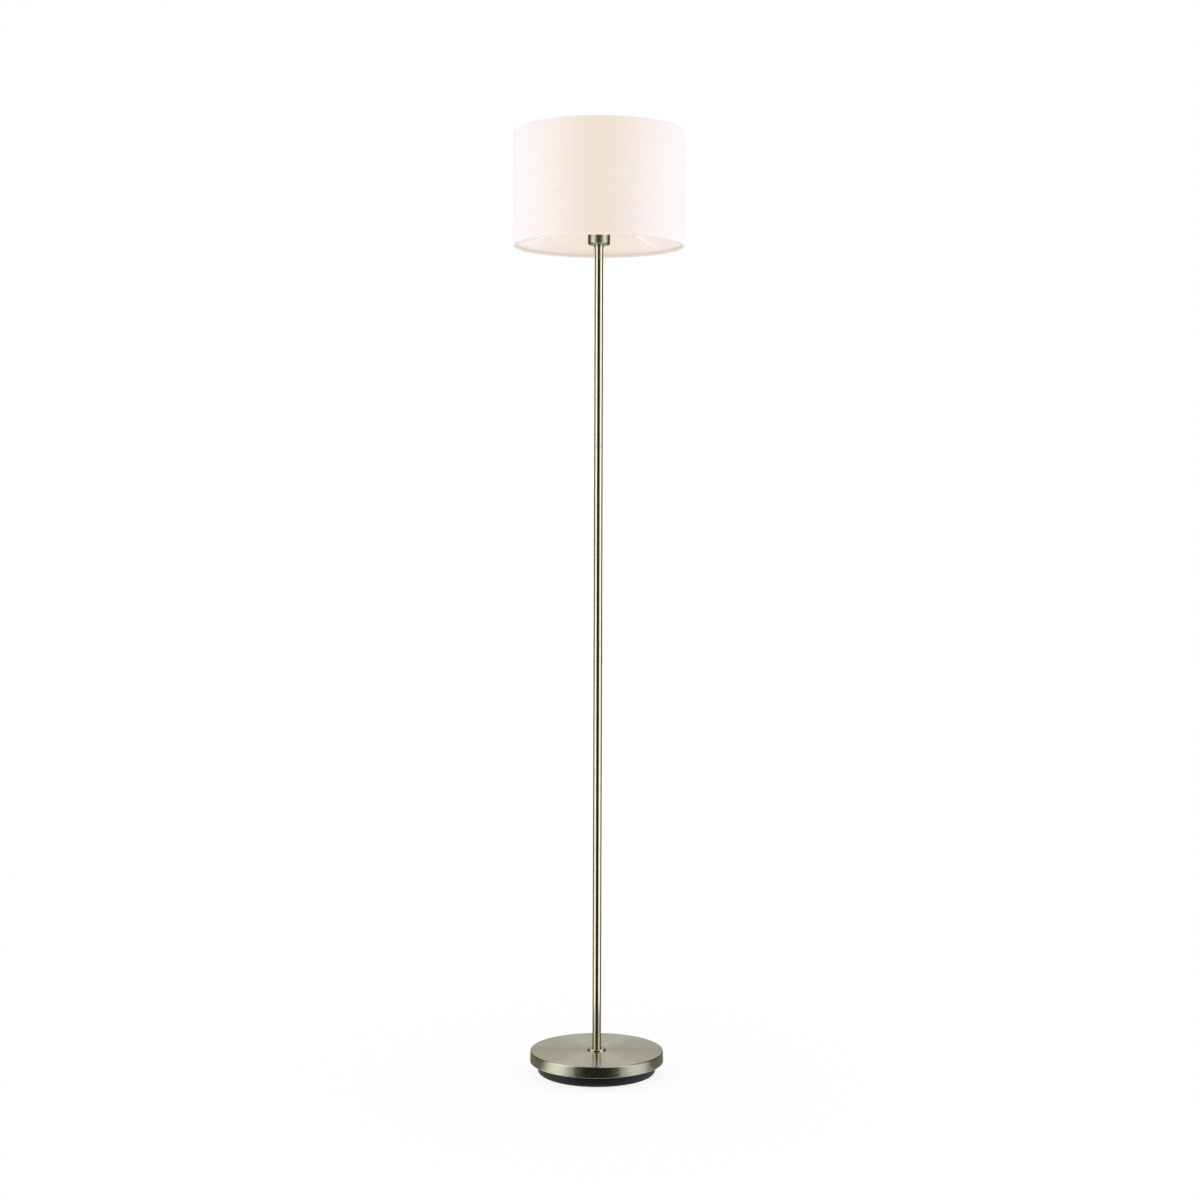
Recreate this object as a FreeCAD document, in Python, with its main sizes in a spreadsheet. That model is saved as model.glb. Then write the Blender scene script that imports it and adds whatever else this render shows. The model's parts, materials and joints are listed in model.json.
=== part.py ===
import FreeCAD, Part
import math
import os

import Sketcher

# Column floor lamp: a weighted round base, a column of four screwed tubes, and a drum shade
# that hangs on the shade ring of a screw-cap lampholder.
#
# Millimetres. The origin is the centre of the underside, +Z is up and -Y is the front.
# Each piece is drawn from its own foot upwards and is lifted to its level by its Placement.

doc = FreeCAD.newDocument("column_floor_lamp")


# ---------------------------------------------------------------- driving sizes

SIZES = [
    # foot and base
    ("pad_dia", 172.0, "foam ring under the tray, outside"),
    ("pad_bore", 130.0, "foam ring, inside"),
    ("pad_thick", 1.5, "foam ring, thickness"),
    ("tray_dia", 191.5, "black tray, outside"),
    ("tray_wall", 2.2, "black tray, side wall"),
    ("tray_floor", 2.5, "black tray, floor"),
    ("tray_round", 5.0, "black tray, outer bottom edge"),
    ("weight_high", 32.4, "cast weight, height"),
    ("weight_bevel", 1.5, "cast weight, bevel of its edges"),
    ("chamber_dia", 64.0, "wiring chamber in the weight"),
    ("chamber_deep", 20.0, "wiring chamber, depth"),
    ("duct_wide", 13.0, "cord duct from the chamber to the rear"),
    ("duct_deep", 14.5, "cord duct, depth"),
    ("cover_overhang", 12.55, "spun cover, how far its lower edge stands out past the tray"),
    ("cover_high", 18.0, "spun cover, height of its rim"),
    ("cover_sheet", 1.0, "spun cover, sheet thickness"),
    ("cover_round", 1.2, "spun cover, outer top edge"),
    ("cover_flare", 0.5, "spun cover, how much the rim widens downwards"),
    ("cover_lip", 3.0, "spun cover, lip turned in at the lower edge"),
    ("tray_screw_pcd", 100.0, "circle of the tray screws"),
    ("tray_screw_dia", 3.5, "tray screw, shank"),
    ("tray_screw_head", 7.0, "tray screw, countersunk head"),
    ("tray_screw_long", 12.0, "tray screw, length"),
    ("inlet_level", 12.0, "height of the cord inlet above the floor"),
    ("inlet_bore", 6.4, "bore of the cord grommet"),
    ("grommet_neck", 9.2, "grommet, inside the tray wall"),
    ("grommet_dia", 11.0, "grommet, flanges"),
    ("grommet_flange", 1.6, "grommet, flange thickness"),
    ("block_wide", 17.0, "terminal block, across"),
    ("block_long", 20.0, "terminal block, along the wires"),
    ("block_high", 10.0, "terminal block, height"),
    ("block_back", 20.5, "terminal block, centre behind the axis"),
    ("pole_pitch", 8.0, "terminal block, between the two poles"),
    ("pole_level", 4.5, "terminal block, wire holes above its foot"),
    ("clamp_dia", 4.4, "brass clamp tube, outside"),
    ("clamp_bore", 2.8, "brass clamp tube, bore"),
    ("clamp_long", 16.0, "brass clamp tube, length"),
    ("clamp_screw_dia", 2.6, "clamp screw"),
    ("clamp_screw_pitch", 9.0, "between the two screws of a clamp"),
    # threaded tube that ties base, column and head together
    ("stud_dia", 10.0, "threaded tube, outside"),
    ("stud_bore", 7.0, "threaded tube, bore"),
    ("stud_tail", 2.0, "threaded tube showing below the nut"),
    ("washer_dia", 30.0, "flat washer"),
    ("washer_thick", 2.0, "flat washer, thickness"),
    ("lock_dia", 17.0, "spring washer"),
    ("lock_thick", 2.0, "spring washer, thickness"),
    ("lock_slit", 1.0, "spring washer, gap in the ring"),
    ("nut_flats", 17.0, "nut, across flats"),
    ("nut_high", 6.0, "nut, height"),
    # column
    ("collar_dia", 30.3, "collar on the base"),
    ("collar_high", 2.7, "collar, height"),
    ("collar_round", 1.2, "collar, upper edge"),
    ("tube_dia", 14.0, "column tube, outside"),
    ("tube_wall", 1.0, "column tube, wall"),
    ("tube_long", 325.7, "column tube, length of each of the four"),
    ("tube_bevel", 0.3, "column tube, bevel at both ends"),
    ("bush_long", 14.0, "threaded bush pressed into a tube end"),
    ("neck_dia", 15.8, "ring between column and cup"),
    ("neck_high", 3.0, "ring between column and cup, height"),
    # lampholder
    ("cup_dia", 36.0, "metal cup, outside"),
    ("cup_high", 30.0, "metal cup, height"),
    ("cup_wall", 1.2, "metal cup, wall"),
    ("cup_floor", 2.0, "metal cup, floor"),
    ("cup_bevel", 2.0, "metal cup, bevel at the lower edge"),
    ("cap_dia", 32.6, "holder cap, outside"),
    ("cap_high", 24.0, "holder cap, height"),
    ("cap_wall", 3.0, "holder cap, wall"),
    ("cap_boss", 19.0, "holder cap, threaded boss"),
    ("cap_neck", 8.0, "holder cap, height of the thread in its boss"),
    ("cap_slope", 9.0, "holder cap, height of the flare above its boss"),
    ("skirt_dia", 39.5, "holder skirt, over its outer thread"),
    ("skirt_bore", 28.6, "holder skirt, inside"),
    ("skirt_high", 33.0, "holder skirt, height above the cap"),
    ("shoulder_dia", 43.6, "shoulder that carries the shade ring"),
    ("shoulder_thick", 2.5, "shoulder, thickness"),
    ("shoulder_level", 16.2, "shoulder top above the cap"),
    ("insert_dia", 28.0, "ceramic insert"),
    ("insert_thick", 6.0, "ceramic insert, thickness"),
    ("shell_dia", 28.0, "screw shell of the holder, outside"),
    ("shell_sheet", 0.4, "screw shell, sheet"),
    ("shell_long", 23.0, "screw shell, length"),
    ("tongue_wide", 7.0, "centre contact tongue, width"),
    ("tongue_thick", 0.5, "centre contact tongue, sheet"),
    ("terminal_pitch", 16.0, "between the holder's two terminals"),
    ("terminal_dia", 5.0, "holder terminal, head"),
    ("terminal_high", 3.0, "holder terminal, head height"),
    ("core_dia", 2.2, "insulated wire inside the column"),
    ("core_pitch", 2.6, "between the two wires inside the column"),
    ("core_bend", 4.0, "bend of a wire"),
    # shade ring and shade
    ("ring_nut_dia", 54.0, "shade ring nut, outside"),
    ("ring_nut_high", 9.0, "shade ring nut, height"),
    ("ring_nut_flange", 2.5, "shade ring nut, plain flange below the flutes"),
    ("ring_nut_land", 50.0, "shade ring nut, over the fluted part"),
    ("flute_dia", 3.4, "shade ring nut, finger flutes"),
    ("fitter_dia", 60.0, "spider ring, outside"),
    ("fitter_bore", 41.0, "spider ring, hole for the holder"),
    ("fitter_thick", 1.5, "spider ring, thickness"),
    ("spider_recess", 45.0, "spider ring above the lower edge of the shade"),
    ("spider_angle", 41.0, "first arm from +X towards +Y, degrees"),
    ("arm_dia", 3.0, "spider arm, wire"),
    ("arm_tab", 5.0, "spider arm, straight run welded under the ring"),
    ("arm_bend", 6.0, "spider arm, bend at the ring"),
    ("arm_sink", 0.4, "how deep the weld sinks the arm into the ring"),
    ("shade_dia", 280.0, "drum shade, outside"),
    ("shade_high", 186.0, "drum shade, height"),
    ("fabric_thick", 0.6, "shade fabric"),
    ("liner_thick", 0.5, "stiff liner behind the fabric"),
    ("hem_tuck", 2.0, "how far the rolled hem runs up past the wire's centre"),
    ("rim_wire", 3.0, "wire rings of the shade"),
    # lamp bulb
    ("bulb_dia", 60.0, "bulb, across the globe"),
    ("bulb_high", 107.0, "bulb, over all"),
    ("bulb_neck", 29.0, "bulb housing at the cap"),
    ("bulb_waist", 52.0, "height at which the globe meets the housing"),
    ("bulb_sheet", 1.4, "bulb globe and housing, wall"),
    ("screw_cap_dia", 26.4, "bulb screw cap"),
    ("screw_cap_foot", 4.5, "bulb screw cap, lower edge above the contact"),
    ("screw_cap_top", 26.0, "bulb screw cap, upper edge above the contact"),
    ("screw_cap_sheet", 0.4, "bulb screw cap, sheet"),
    ("contact_dia", 9.0, "bulb centre contact"),
    ("contact_thick", 1.0, "bulb centre contact, thickness"),
    ("board_dia", 44.0, "light board in the bulb"),
    ("board_thick", 1.6, "light board, thickness"),
    # clearances
    ("thread_gap", 0.05, "radial clearance of a thread or pressed bush"),
    ("seat_gap", 0.3, "clearance of loose or turning seats"),
    ("hole_gap", 0.3, "radial clearance of a through hole"),
    ("wire_gap", 0.3, "clearance of the rolled edges round their wires"),
]

sizes = doc.addObject("Spreadsheet::Sheet", "sizes")
for row, (alias, number, note) in enumerate(SIZES, 1):
    sizes.set("A%d" % row, alias)
    sizes.set("B%d" % row, str(number))
    sizes.set("C%d" % row, note)
    sizes.setAlias("B%d" % row, alias)
doc.recompute()

# Heights above the floor, each worked out from the piece below it.
LEVELS = [
    ("tray_foot", "sizes.pad_thick"),
    ("weight_foot", "tray_foot + sizes.tray_floor"),
    ("weight_top", "weight_foot + sizes.weight_high"),
    ("tray_top", "weight_top - sizes.seat_gap"),
    ("cover_top", "weight_top + sizes.cover_sheet"),
    ("cover_foot", "cover_top - sizes.cover_high"),
    ("washer_foot", "weight_foot + sizes.chamber_deep - sizes.washer_thick"),
    ("lock_foot", "washer_foot - sizes.lock_thick"),
    ("nut_foot", "lock_foot - sizes.nut_high"),
    ("stud_foot", "nut_foot - sizes.stud_tail"),
    ("column_foot", "cover_top + sizes.collar_high"),
    ("column_top", "column_foot + 4 * sizes.tube_long"),
    ("cup_foot", "column_top + sizes.neck_high"),
    ("cap_foot", "cup_foot + sizes.cup_floor"),
    ("holder_foot", "cap_foot + sizes.cap_high"),
    ("insert_top", "holder_foot + sizes.insert_thick"),
    ("bulb_foot", "insert_top + 3 * sizes.tongue_thick"),
    ("shoulder_top", "holder_foot + sizes.shoulder_level"),
    ("fitter_foot", "shoulder_top + sizes.seat_gap"),
    ("ring_nut_foot", "fitter_foot + sizes.fitter_thick + sizes.seat_gap"),
    ("shade_foot", "fitter_foot - sizes.spider_recess"),
]

levels = doc.addObject("Spreadsheet::Sheet", "levels")
for row, (alias, formula) in enumerate(LEVELS, 1):
    levels.set("A%d" % row, alias)
    levels.set("B%d" % row, "=" + formula)
    levels.setAlias("B%d" % row, alias)
    doc.recompute()


def value(expression):
    """What an expression in the sheets' names comes to."""
    return float(levels.evalExpression(expression))


# ---------------------------------------------------------------- ways of making a piece

nodes = []


def node(piece, name):
    """Names a finished piece; its file takes the same name."""
    piece.Label = name
    nodes.append(piece)
    return piece


def new_sketch(body, name, role):
    """An empty sketch on one of the body's own origin planes."""
    sketch = body.newObject("Sketcher::SketchObject", name)
    plane = [feature for feature in body.Origin.OriginFeatures if feature.Role == role][0]
    sketch.AttachmentSupport = (plane, [""])
    sketch.MapMode = "FlatFace"
    return sketch


def pin_coordinate(sketch, geometry, point, direction, expression):
    """Holds one coordinate of a sketch point to an expression in the sheets."""
    axis = {"DistanceX": -2, "DistanceY": -1}[direction]
    if expression == "0":
        sketch.addConstraint(Sketcher.Constraint("PointOnObject", geometry, point, axis))
        return
    distance = Sketcher.Constraint(direction, -1, 1, geometry, point, value(expression))
    index = sketch.addConstraint(distance)
    sketch.setExpression("Constraints[%d]" % index, expression)


def draw_outline(sketch, corners):
    """A closed outline through the corners, each (across, up) as expressions.

    A third entry (centre across, centre up, sense) bends the side that leaves the corner
    into an arc; sense is +1 for counterclockwise and -1 for clockwise."""
    points = [FreeCAD.Vector(value(corner[0]), value(corner[1]), 0) for corner in corners]
    ends = []
    for index, corner in enumerate(corners):
        start = points[index]
        stop = points[(index + 1) % len(points)]
        if len(corner) == 2:
            sketch.addGeometry(Part.LineSegment(start, stop), False)
            ends.append((1, 2))
            continue
        centre = FreeCAD.Vector(value(corner[2][0]), value(corner[2][1]), 0)
        sense = corner[2][2]
        first, last = (start, stop) if sense > 0 else (stop, start)
        angles = [math.atan2(p.y - centre.y, p.x - centre.x) for p in (first, last)]
        circle = Part.Circle(centre, FreeCAD.Vector(0, 0, 1), (start - centre).Length)
        if angles[1] <= angles[0]:
            angles[1] += 2 * math.pi
        sketch.addGeometry(Part.ArcOfCircle(circle, angles[0], angles[1]), False)
        ends.append((1, 2) if sense > 0 else (2, 1))
    for index in range(len(corners)):
        after = (index + 1) % len(corners)
        joined = Sketcher.Constraint("Coincident", index, ends[index][1], after, ends[after][0])
        sketch.addConstraint(joined)
    for index, corner in enumerate(corners):
        pin_coordinate(sketch, index, ends[index][0], "DistanceX", corner[0])
        pin_coordinate(sketch, index, ends[index][0], "DistanceY", corner[1])
        if len(corner) == 2:
            continue
        chord = points[(index + 1) % len(points)] - points[index]
        if abs(chord.x) >= abs(chord.y):
            pin_coordinate(sketch, index, 3, "DistanceY", corner[2][1])
        else:
            pin_coordinate(sketch, index, 3, "DistanceX", corner[2][0])


def turned(name, corners, foot="0"):
    """A body turned about its own Z axis from a half outline of (radius, height) corners."""
    body = doc.addObject("PartDesign::Body", name)
    sketch = new_sketch(body, name + "_outline", "XZ_Plane")
    draw_outline(sketch, corners)
    turning = body.newObject("PartDesign::Revolution", name + "_turning")
    turning.Profile = sketch
    turning.ReferenceAxis = (sketch, ["V_Axis"])
    turning.Angle = 360
    body.setExpression("Placement.Base.z", foot)
    doc.recompute()
    return body


def ring(name, outside, bore, height, foot="0"):
    """A plain turned ring: outside and bore diameters and height as expressions."""
    corners = [
        (bore + " / 2", "0"),
        (outside + " / 2", "0"),
        (outside + " / 2", height),
        (bore + " / 2", height),
    ]
    return turned(name, corners, foot)


def round_circles(body, name, radius, places):
    """Fillets the circular edges that lie at the given (radius, height) places."""
    before = body.Tip
    picked = []
    for across, up in places:
        for number, edge in enumerate(before.Shape.Edges, 1):
            if not isinstance(edge.Curve, Part.Circle):
                continue
            if abs(edge.Curve.Radius - value(across)) > 0.01:
                continue
            if abs(edge.Curve.Center.z - value(up)) < 0.01:
                picked.append("Edge%d" % number)
    fillet = body.newObject("PartDesign::Fillet", name)
    fillet.Base = (before, picked)
    fillet.setExpression("Radius", radius)
    doc.recompute()
    return fillet


def primitive(body, kind, name, bindings, rotation=None):
    """A primitive feature of a body, its properties bound to expressions."""
    feature = body.newObject("PartDesign::" + kind, name)
    if rotation is not None:
        feature.Placement = FreeCAD.Placement(FreeCAD.Vector(), rotation)
    for prop, expression in bindings.items():
        feature.setExpression(prop, expression)
    doc.recompute()
    return feature


def polar(body, name, originals, count):
    """Repeats features evenly round the body's Z axis."""
    pattern = body.newObject("PartDesign::PolarPattern", name)
    pattern.Originals = originals
    axis = [feature for feature in body.Origin.OriginFeatures if feature.Role == "Z_Axis"][0]
    pattern.Axis = (axis, [""])
    pattern.Angle = 360
    pattern.Occurrences = count
    body.Tip = pattern
    doc.recompute()
    return pattern


def must_cut(body, before, what):
    """Stops the build if a cutting feature took nothing away."""
    after = body.Shape.Volume
    if not after < before - 0.01:
        raise ValueError("%s cut nothing from %s" % (what, body.Label))


def group(name, members):
    """Identical small pieces kept together as separate solids of one node."""
    compound = doc.addObject("Part::Compound", name)
    compound.Links = members
    return node(compound, name)


UPRIGHT_TO_Y = FreeCAD.Rotation(FreeCAD.Vector(1, 0, 0), -90)


# ---------------------------------------------------------------- base

node(ring("foot_pad", "sizes.pad_dia", "sizes.pad_bore", "sizes.pad_thick"), "foot_pad")

# Black tray: a shallow moulded pan that holds the weight and shows below the cover.
tray_high = "(levels.tray_top - levels.tray_foot)"
tray = turned(
    "base_tray",
    [
        ("0", "0"),
        ("sizes.tray_dia / 2", "0"),
        ("sizes.tray_dia / 2", tray_high),
        ("sizes.tray_dia / 2 - sizes.tray_wall", tray_high),
        ("sizes.tray_dia / 2 - sizes.tray_wall", "sizes.tray_floor"),
        ("0", "sizes.tray_floor"),
    ],
    "levels.tray_foot",
)
round_circles(tray, "tray_rounding", "sizes.tray_round", [("sizes.tray_dia / 2", "0")])
solid_tray = tray.Shape.Volume
primitive(
    tray,
    "SubtractiveCylinder",
    "tray_inlet",
    {
        "Radius": "sizes.grommet_neck / 2 + sizes.thread_gap",
        "Height": "sizes.tray_dia",
        "Placement.Base.z": "sizes.inlet_level - levels.tray_foot",
    },
    UPRIGHT_TO_Y,
)
must_cut(tray, solid_tray, "the cord inlet")
shank_hole = primitive(
    tray,
    "SubtractiveCylinder",
    "tray_screw_hole",
    {
        "Radius": "sizes.tray_screw_dia / 2 + sizes.hole_gap",
        "Height": "sizes.tray_floor",
        "Placement.Base.x": "sizes.tray_screw_pcd / 2",
    },
)
sink_hole = primitive(
    tray,
    "SubtractiveCone",
    "tray_screw_sink",
    {
        "Radius1": "sizes.tray_screw_head / 2 + sizes.thread_gap",
        "Radius2": "sizes.tray_screw_dia / 2 + sizes.thread_gap",
        "Height": "(sizes.tray_screw_head - sizes.tray_screw_dia) / 2",
        "Placement.Base.x": "sizes.tray_screw_pcd / 2",
    },
)
polar(tray, "tray_screw_holes", [shank_hole, sink_hole], 3)
node(tray, "base_tray")

# Cast weight: fills the tray, hollowed from below for the nut, the terminal block and
# the duct that brings the cord from the rear.
weight_radius = "(sizes.tray_dia / 2 - sizes.tray_wall - sizes.seat_gap)"
weight = turned(
    "base_weight",
    [
        ("sizes.stud_dia / 2 + sizes.hole_gap", "sizes.chamber_deep"),
        ("sizes.chamber_dia / 2", "sizes.chamber_deep"),
        ("sizes.chamber_dia / 2", "0"),
        (weight_radius + " - sizes.weight_bevel", "0"),
        (weight_radius, "sizes.weight_bevel"),
        (weight_radius, "sizes.weight_high - sizes.weight_bevel"),
        (weight_radius + " - sizes.weight_bevel", "sizes.weight_high"),
        ("sizes.stud_dia / 2 + sizes.hole_gap", "sizes.weight_high"),
    ],
    "levels.weight_foot",
)
solid_weight = weight.Shape.Volume
primitive(
    weight,
    "SubtractiveBox",
    "cord_duct",
    {
        "Length": "sizes.duct_wide",
        "Width": "sizes.tray_dia / 2",
        "Height": "sizes.duct_deep",
        "Placement.Base.x": "-sizes.duct_wide / 2",
        "Placement.Base.y": "sizes.chamber_dia / 2 - sizes.duct_wide / 2",
    },
)
must_cut(weight, solid_weight, "the cord duct")
pilot_hole = primitive(
    weight,
    "SubtractiveCylinder",
    "weight_screw_hole",
    {
        "Radius": "sizes.tray_screw_dia / 2 + sizes.thread_gap",
        "Height": "sizes.tray_screw_long",
        "Placement.Base.x": "sizes.tray_screw_pcd / 2",
    },
)
polar(weight, "weight_screw_holes", [pilot_hole], 3)
node(weight, "base_weight")

# Countersunk screws that hold the tray to the weight.
tray_screws = doc.addObject("PartDesign::Body", "tray_screws")
screw_head = primitive(
    tray_screws,
    "AdditiveCone",
    "tray_screw_cone",
    {
        "Radius1": "sizes.tray_screw_head / 2",
        "Radius2": "sizes.tray_screw_dia / 2",
        "Height": "(sizes.tray_screw_head - sizes.tray_screw_dia) / 2",
        "Placement.Base.x": "sizes.tray_screw_pcd / 2",
    },
)
screw_shank = primitive(
    tray_screws,
    "AdditiveCylinder",
    "tray_screw_shank",
    {
        "Radius": "sizes.tray_screw_dia / 2",
        "Height": "sizes.tray_screw_long",
        "Placement.Base.x": "sizes.tray_screw_pcd / 2",
    },
)
polar(tray_screws, "tray_screw_circle", [screw_head, screw_shank], 3)
tray_screws.setExpression("Placement.Base.z", "levels.tray_foot")
node(tray_screws, "tray_screws")

# Spun cover: a flat plate with a turned-down rim that widens a little towards its lower
# edge, where the sheet is turned in as a lip.
rim_low = "(sizes.tray_dia / 2 + sizes.cover_overhang)"
rim_top = "(%s - sizes.cover_flare)" % rim_low
cover = turned(
    "base_cover",
    [
        ("sizes.stud_dia / 2 + sizes.hole_gap", "sizes.cover_high - sizes.cover_sheet"),
        (rim_top + " - sizes.cover_sheet", "sizes.cover_high - sizes.cover_sheet"),
        (rim_low + " - sizes.cover_sheet", "sizes.cover_sheet"),
        (rim_low + " - sizes.cover_lip", "sizes.cover_sheet"),
        (rim_low + " - sizes.cover_lip", "0"),
        (rim_low, "0"),
        (rim_top, "sizes.cover_high"),
        ("sizes.stud_dia / 2 + sizes.hole_gap", "sizes.cover_high"),
    ],
    "levels.cover_foot",
)
round_circles(
    cover, "cover_rounding", "sizes.cover_round", [(rim_top, "sizes.cover_high")]
)
round_circles(
    cover,
    "cover_inner_rounding",
    "max(sizes.cover_round - sizes.cover_sheet; sizes.cover_sheet / 4)",
    [(rim_top + " - sizes.cover_sheet", "sizes.cover_high - sizes.cover_sheet")],
)
round_circles(cover, "cover_lip_rounding", "0.9 * sizes.cover_sheet", [(rim_low, "0")])
node(cover, "base_cover")

# Grommet in the tray's rear wall, for the mains cord. It is turned about its own bore.
flange_radius = "sizes.grommet_dia / 2"
neck_end = "(sizes.grommet_flange + sizes.tray_wall + sizes.seat_gap)"
grommet = turned(
    "cord_grommet",
    [
        ("sizes.inlet_bore / 2", "0"),
        (flange_radius, "0"),
        (flange_radius, "sizes.grommet_flange"),
        ("sizes.grommet_neck / 2", "sizes.grommet_flange"),
        ("sizes.grommet_neck / 2", neck_end),
        (flange_radius, neck_end),
        (flange_radius, neck_end + " + sizes.grommet_flange"),
        ("sizes.inlet_bore / 2", neck_end + " + sizes.grommet_flange"),
    ],
)
round_circles(
    grommet,
    "grommet_rounding",
    "sizes.grommet_flange / 2",
    [(flange_radius, neck_end + " + sizes.grommet_flange")],
)
grommet.Placement = FreeCAD.Placement(FreeCAD.Vector(), UPRIGHT_TO_Y)
grommet.setExpression(
    "Placement.Base.y", "sizes.tray_dia / 2 - %s + sizes.thread_gap" % neck_end
)
grommet.setExpression("Placement.Base.z", "sizes.inlet_level")
node(grommet, "cord_grommet")

# Hollow threaded stud, with its flat washer, spring washer and nut in the chamber.
base_stud = ring(
    "base_stud",
    "sizes.stud_dia",
    "sizes.stud_bore",
    "(levels.column_foot + sizes.bush_long - levels.stud_foot)",
    "levels.stud_foot",
)
node(base_stud, "base_stud")
thread_clear = "(sizes.stud_dia + 2 * sizes.thread_gap)"
washer = ring(
    "base_washer", "sizes.washer_dia", thread_clear, "sizes.washer_thick", "levels.washer_foot"
)
node(washer, "base_washer")
lock_washer = ring(
    "base_spring_washer", "sizes.lock_dia", thread_clear, "sizes.lock_thick", "levels.lock_foot"
)
whole_washer = lock_washer.Shape.Volume
primitive(
    lock_washer,
    "SubtractiveBox",
    "spring_slit",
    {
        "Length": "sizes.lock_dia",
        "Width": "sizes.lock_slit",
        "Height": "sizes.lock_thick",
        "Placement.Base.y": "-sizes.lock_slit / 2",
    },
)
must_cut(lock_washer, whole_washer, "the slit")
node(lock_washer, "base_spring_washer")

nut_blank = doc.addObject("Part::Prism", "nut_blank")
nut_blank.Polygon = 6
nut_blank.setExpression("Circumradius", "sizes.nut_flats / sqrt(3)")
nut_blank.setExpression("Height", "sizes.nut_high")
nut_bore = doc.addObject("Part::Cylinder", "nut_bore")
nut_bore.setExpression("Radius", thread_clear + " / 2")
nut_bore.setExpression("Height", "sizes.nut_high")
base_nut = doc.addObject("Part::Cut", "base_nut")
base_nut.Base = nut_blank
base_nut.Tool = nut_bore
base_nut.setExpression("Placement.Base.z", "levels.nut_foot")
node(base_nut, "base_nut")

# Two-pole terminal block on the tray floor, behind the nut, with brass clamp tubes and
# their screws. Its wires run towards the axis.
block = doc.addObject("PartDesign::Body", "terminal_block")
primitive(
    block,
    "AdditiveBox",
    "block_body",
    {
        "Length": "sizes.block_wide",
        "Width": "sizes.block_long",
        "Height": "sizes.block_high",
        "Placement.Base.x": "-sizes.block_wide / 2",
        "Placement.Base.y": "-sizes.block_long / 2",
    },
)
clamps = []
clamp_screws = []
for side in (-1, 1):
    pole = "%d * sizes.pole_pitch / 2" % side
    wire_hole = primitive(
        block,
        "SubtractiveCylinder",
        "wire_hole_%d" % (side + 2),
        {
            "Radius": "sizes.clamp_dia / 2 + sizes.thread_gap",
            "Height": "sizes.block_long",
            "Placement.Base.x": pole,
            "Placement.Base.y": "-sizes.block_long / 2",
            "Placement.Base.z": "sizes.pole_level",
        },
        UPRIGHT_TO_Y,
    )
    clamp = ring("clamp_%d" % (side + 2), "sizes.clamp_dia", "sizes.clamp_bore", "sizes.clamp_long")
    clamp.Placement = FreeCAD.Placement(FreeCAD.Vector(), UPRIGHT_TO_Y)
    clamp.setExpression("Placement.Base.x", pole)
    clamp.setExpression("Placement.Base.y", "sizes.block_back - sizes.clamp_long / 2")
    clamp.setExpression("Placement.Base.z", "levels.weight_foot + sizes.pole_level")
    clamps.append(clamp)
    for end in (-1, 1):
        along = "%d * sizes.clamp_screw_pitch / 2" % end
        screw_foot = "(sizes.pole_level + sizes.clamp_dia / 2 + sizes.thread_gap)"
        primitive(
            block,
            "SubtractiveCylinder",
            "screw_hole_%d_%d" % (side + 2, end + 2),
            {
                "Radius": "sizes.clamp_screw_dia / 2 + sizes.thread_gap",
                "Height": "sizes.block_high",
                "Placement.Base.x": pole,
                "Placement.Base.y": along,
                "Placement.Base.z": "sizes.pole_level",
            },
        )
        screw = doc.addObject("Part::Cylinder", "clamp_screw_%d_%d" % (side + 2, end + 2))
        screw.setExpression("Radius", "sizes.clamp_screw_dia / 2")
        screw.setExpression("Height", "sizes.block_high - %s - sizes.seat_gap" % screw_foot)
        screw.setExpression("Placement.Base.x", pole)
        screw.setExpression("Placement.Base.y", "sizes.block_back + " + along)
        screw.setExpression("Placement.Base.z", "levels.weight_foot + " + screw_foot)
        clamp_screws.append(screw)
block.setExpression("Placement.Base.y", "sizes.block_back")
block.setExpression("Placement.Base.z", "levels.weight_foot")
node(block, "terminal_block")
group("terminal_clamps", clamps)
group("terminal_screws", clamp_screws)


# ---------------------------------------------------------------- column

collar = ring(
    "column_collar",
    "sizes.collar_dia",
    "(sizes.stud_dia + 2 * sizes.hole_gap)",
    "sizes.collar_high",
    "levels.cover_top",
)
round_circles(
    collar, "collar_rounding", "sizes.collar_round", [("sizes.collar_dia / 2", "sizes.collar_high")]
)
node(collar, "column_collar")

# Four equal tubes. Each has a threaded bush pressed into both ends, and hollow studs
# screwed into the bushes join one tube to the next.
TUBES = ["lower", "lower_middle", "upper_middle", "top"]
tube_outer = "sizes.tube_dia / 2"
tube_inner = "(sizes.tube_dia / 2 - sizes.tube_wall)"
bush_dia = "(sizes.tube_dia - 2 * sizes.tube_wall - 2 * sizes.thread_gap)"
for number, place in enumerate(TUBES):
    tube_foot = "levels.column_foot + %d * sizes.tube_long" % number
    tube = turned(
        place + "_tube",
        [
            (tube_inner, "0"),
            (tube_outer + " - sizes.tube_bevel", "0"),
            (tube_outer, "sizes.tube_bevel"),
            (tube_outer, "sizes.tube_long - sizes.tube_bevel"),
            (tube_outer + " - sizes.tube_bevel", "sizes.tube_long"),
            (tube_inner, "sizes.tube_long"),
        ],
        tube_foot,
    )
    node(tube, place + "_tube")
    bush_feet = {"foot": tube_foot, "head": tube_foot + " + sizes.tube_long - sizes.bush_long"}
    for end, bush_foot in bush_feet.items():
        name = "%s_tube_%s_bush" % (place, end)
        node(ring(name, bush_dia, thread_clear, "sizes.bush_long", bush_foot), name)
    if number == 0:
        continue
    name = place + "_tube_stud"
    stud_foot = tube_foot + " - sizes.bush_long"
    node(ring(name, "sizes.stud_dia", "sizes.stud_bore", "(2 * sizes.bush_long)", stud_foot), name)

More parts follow.
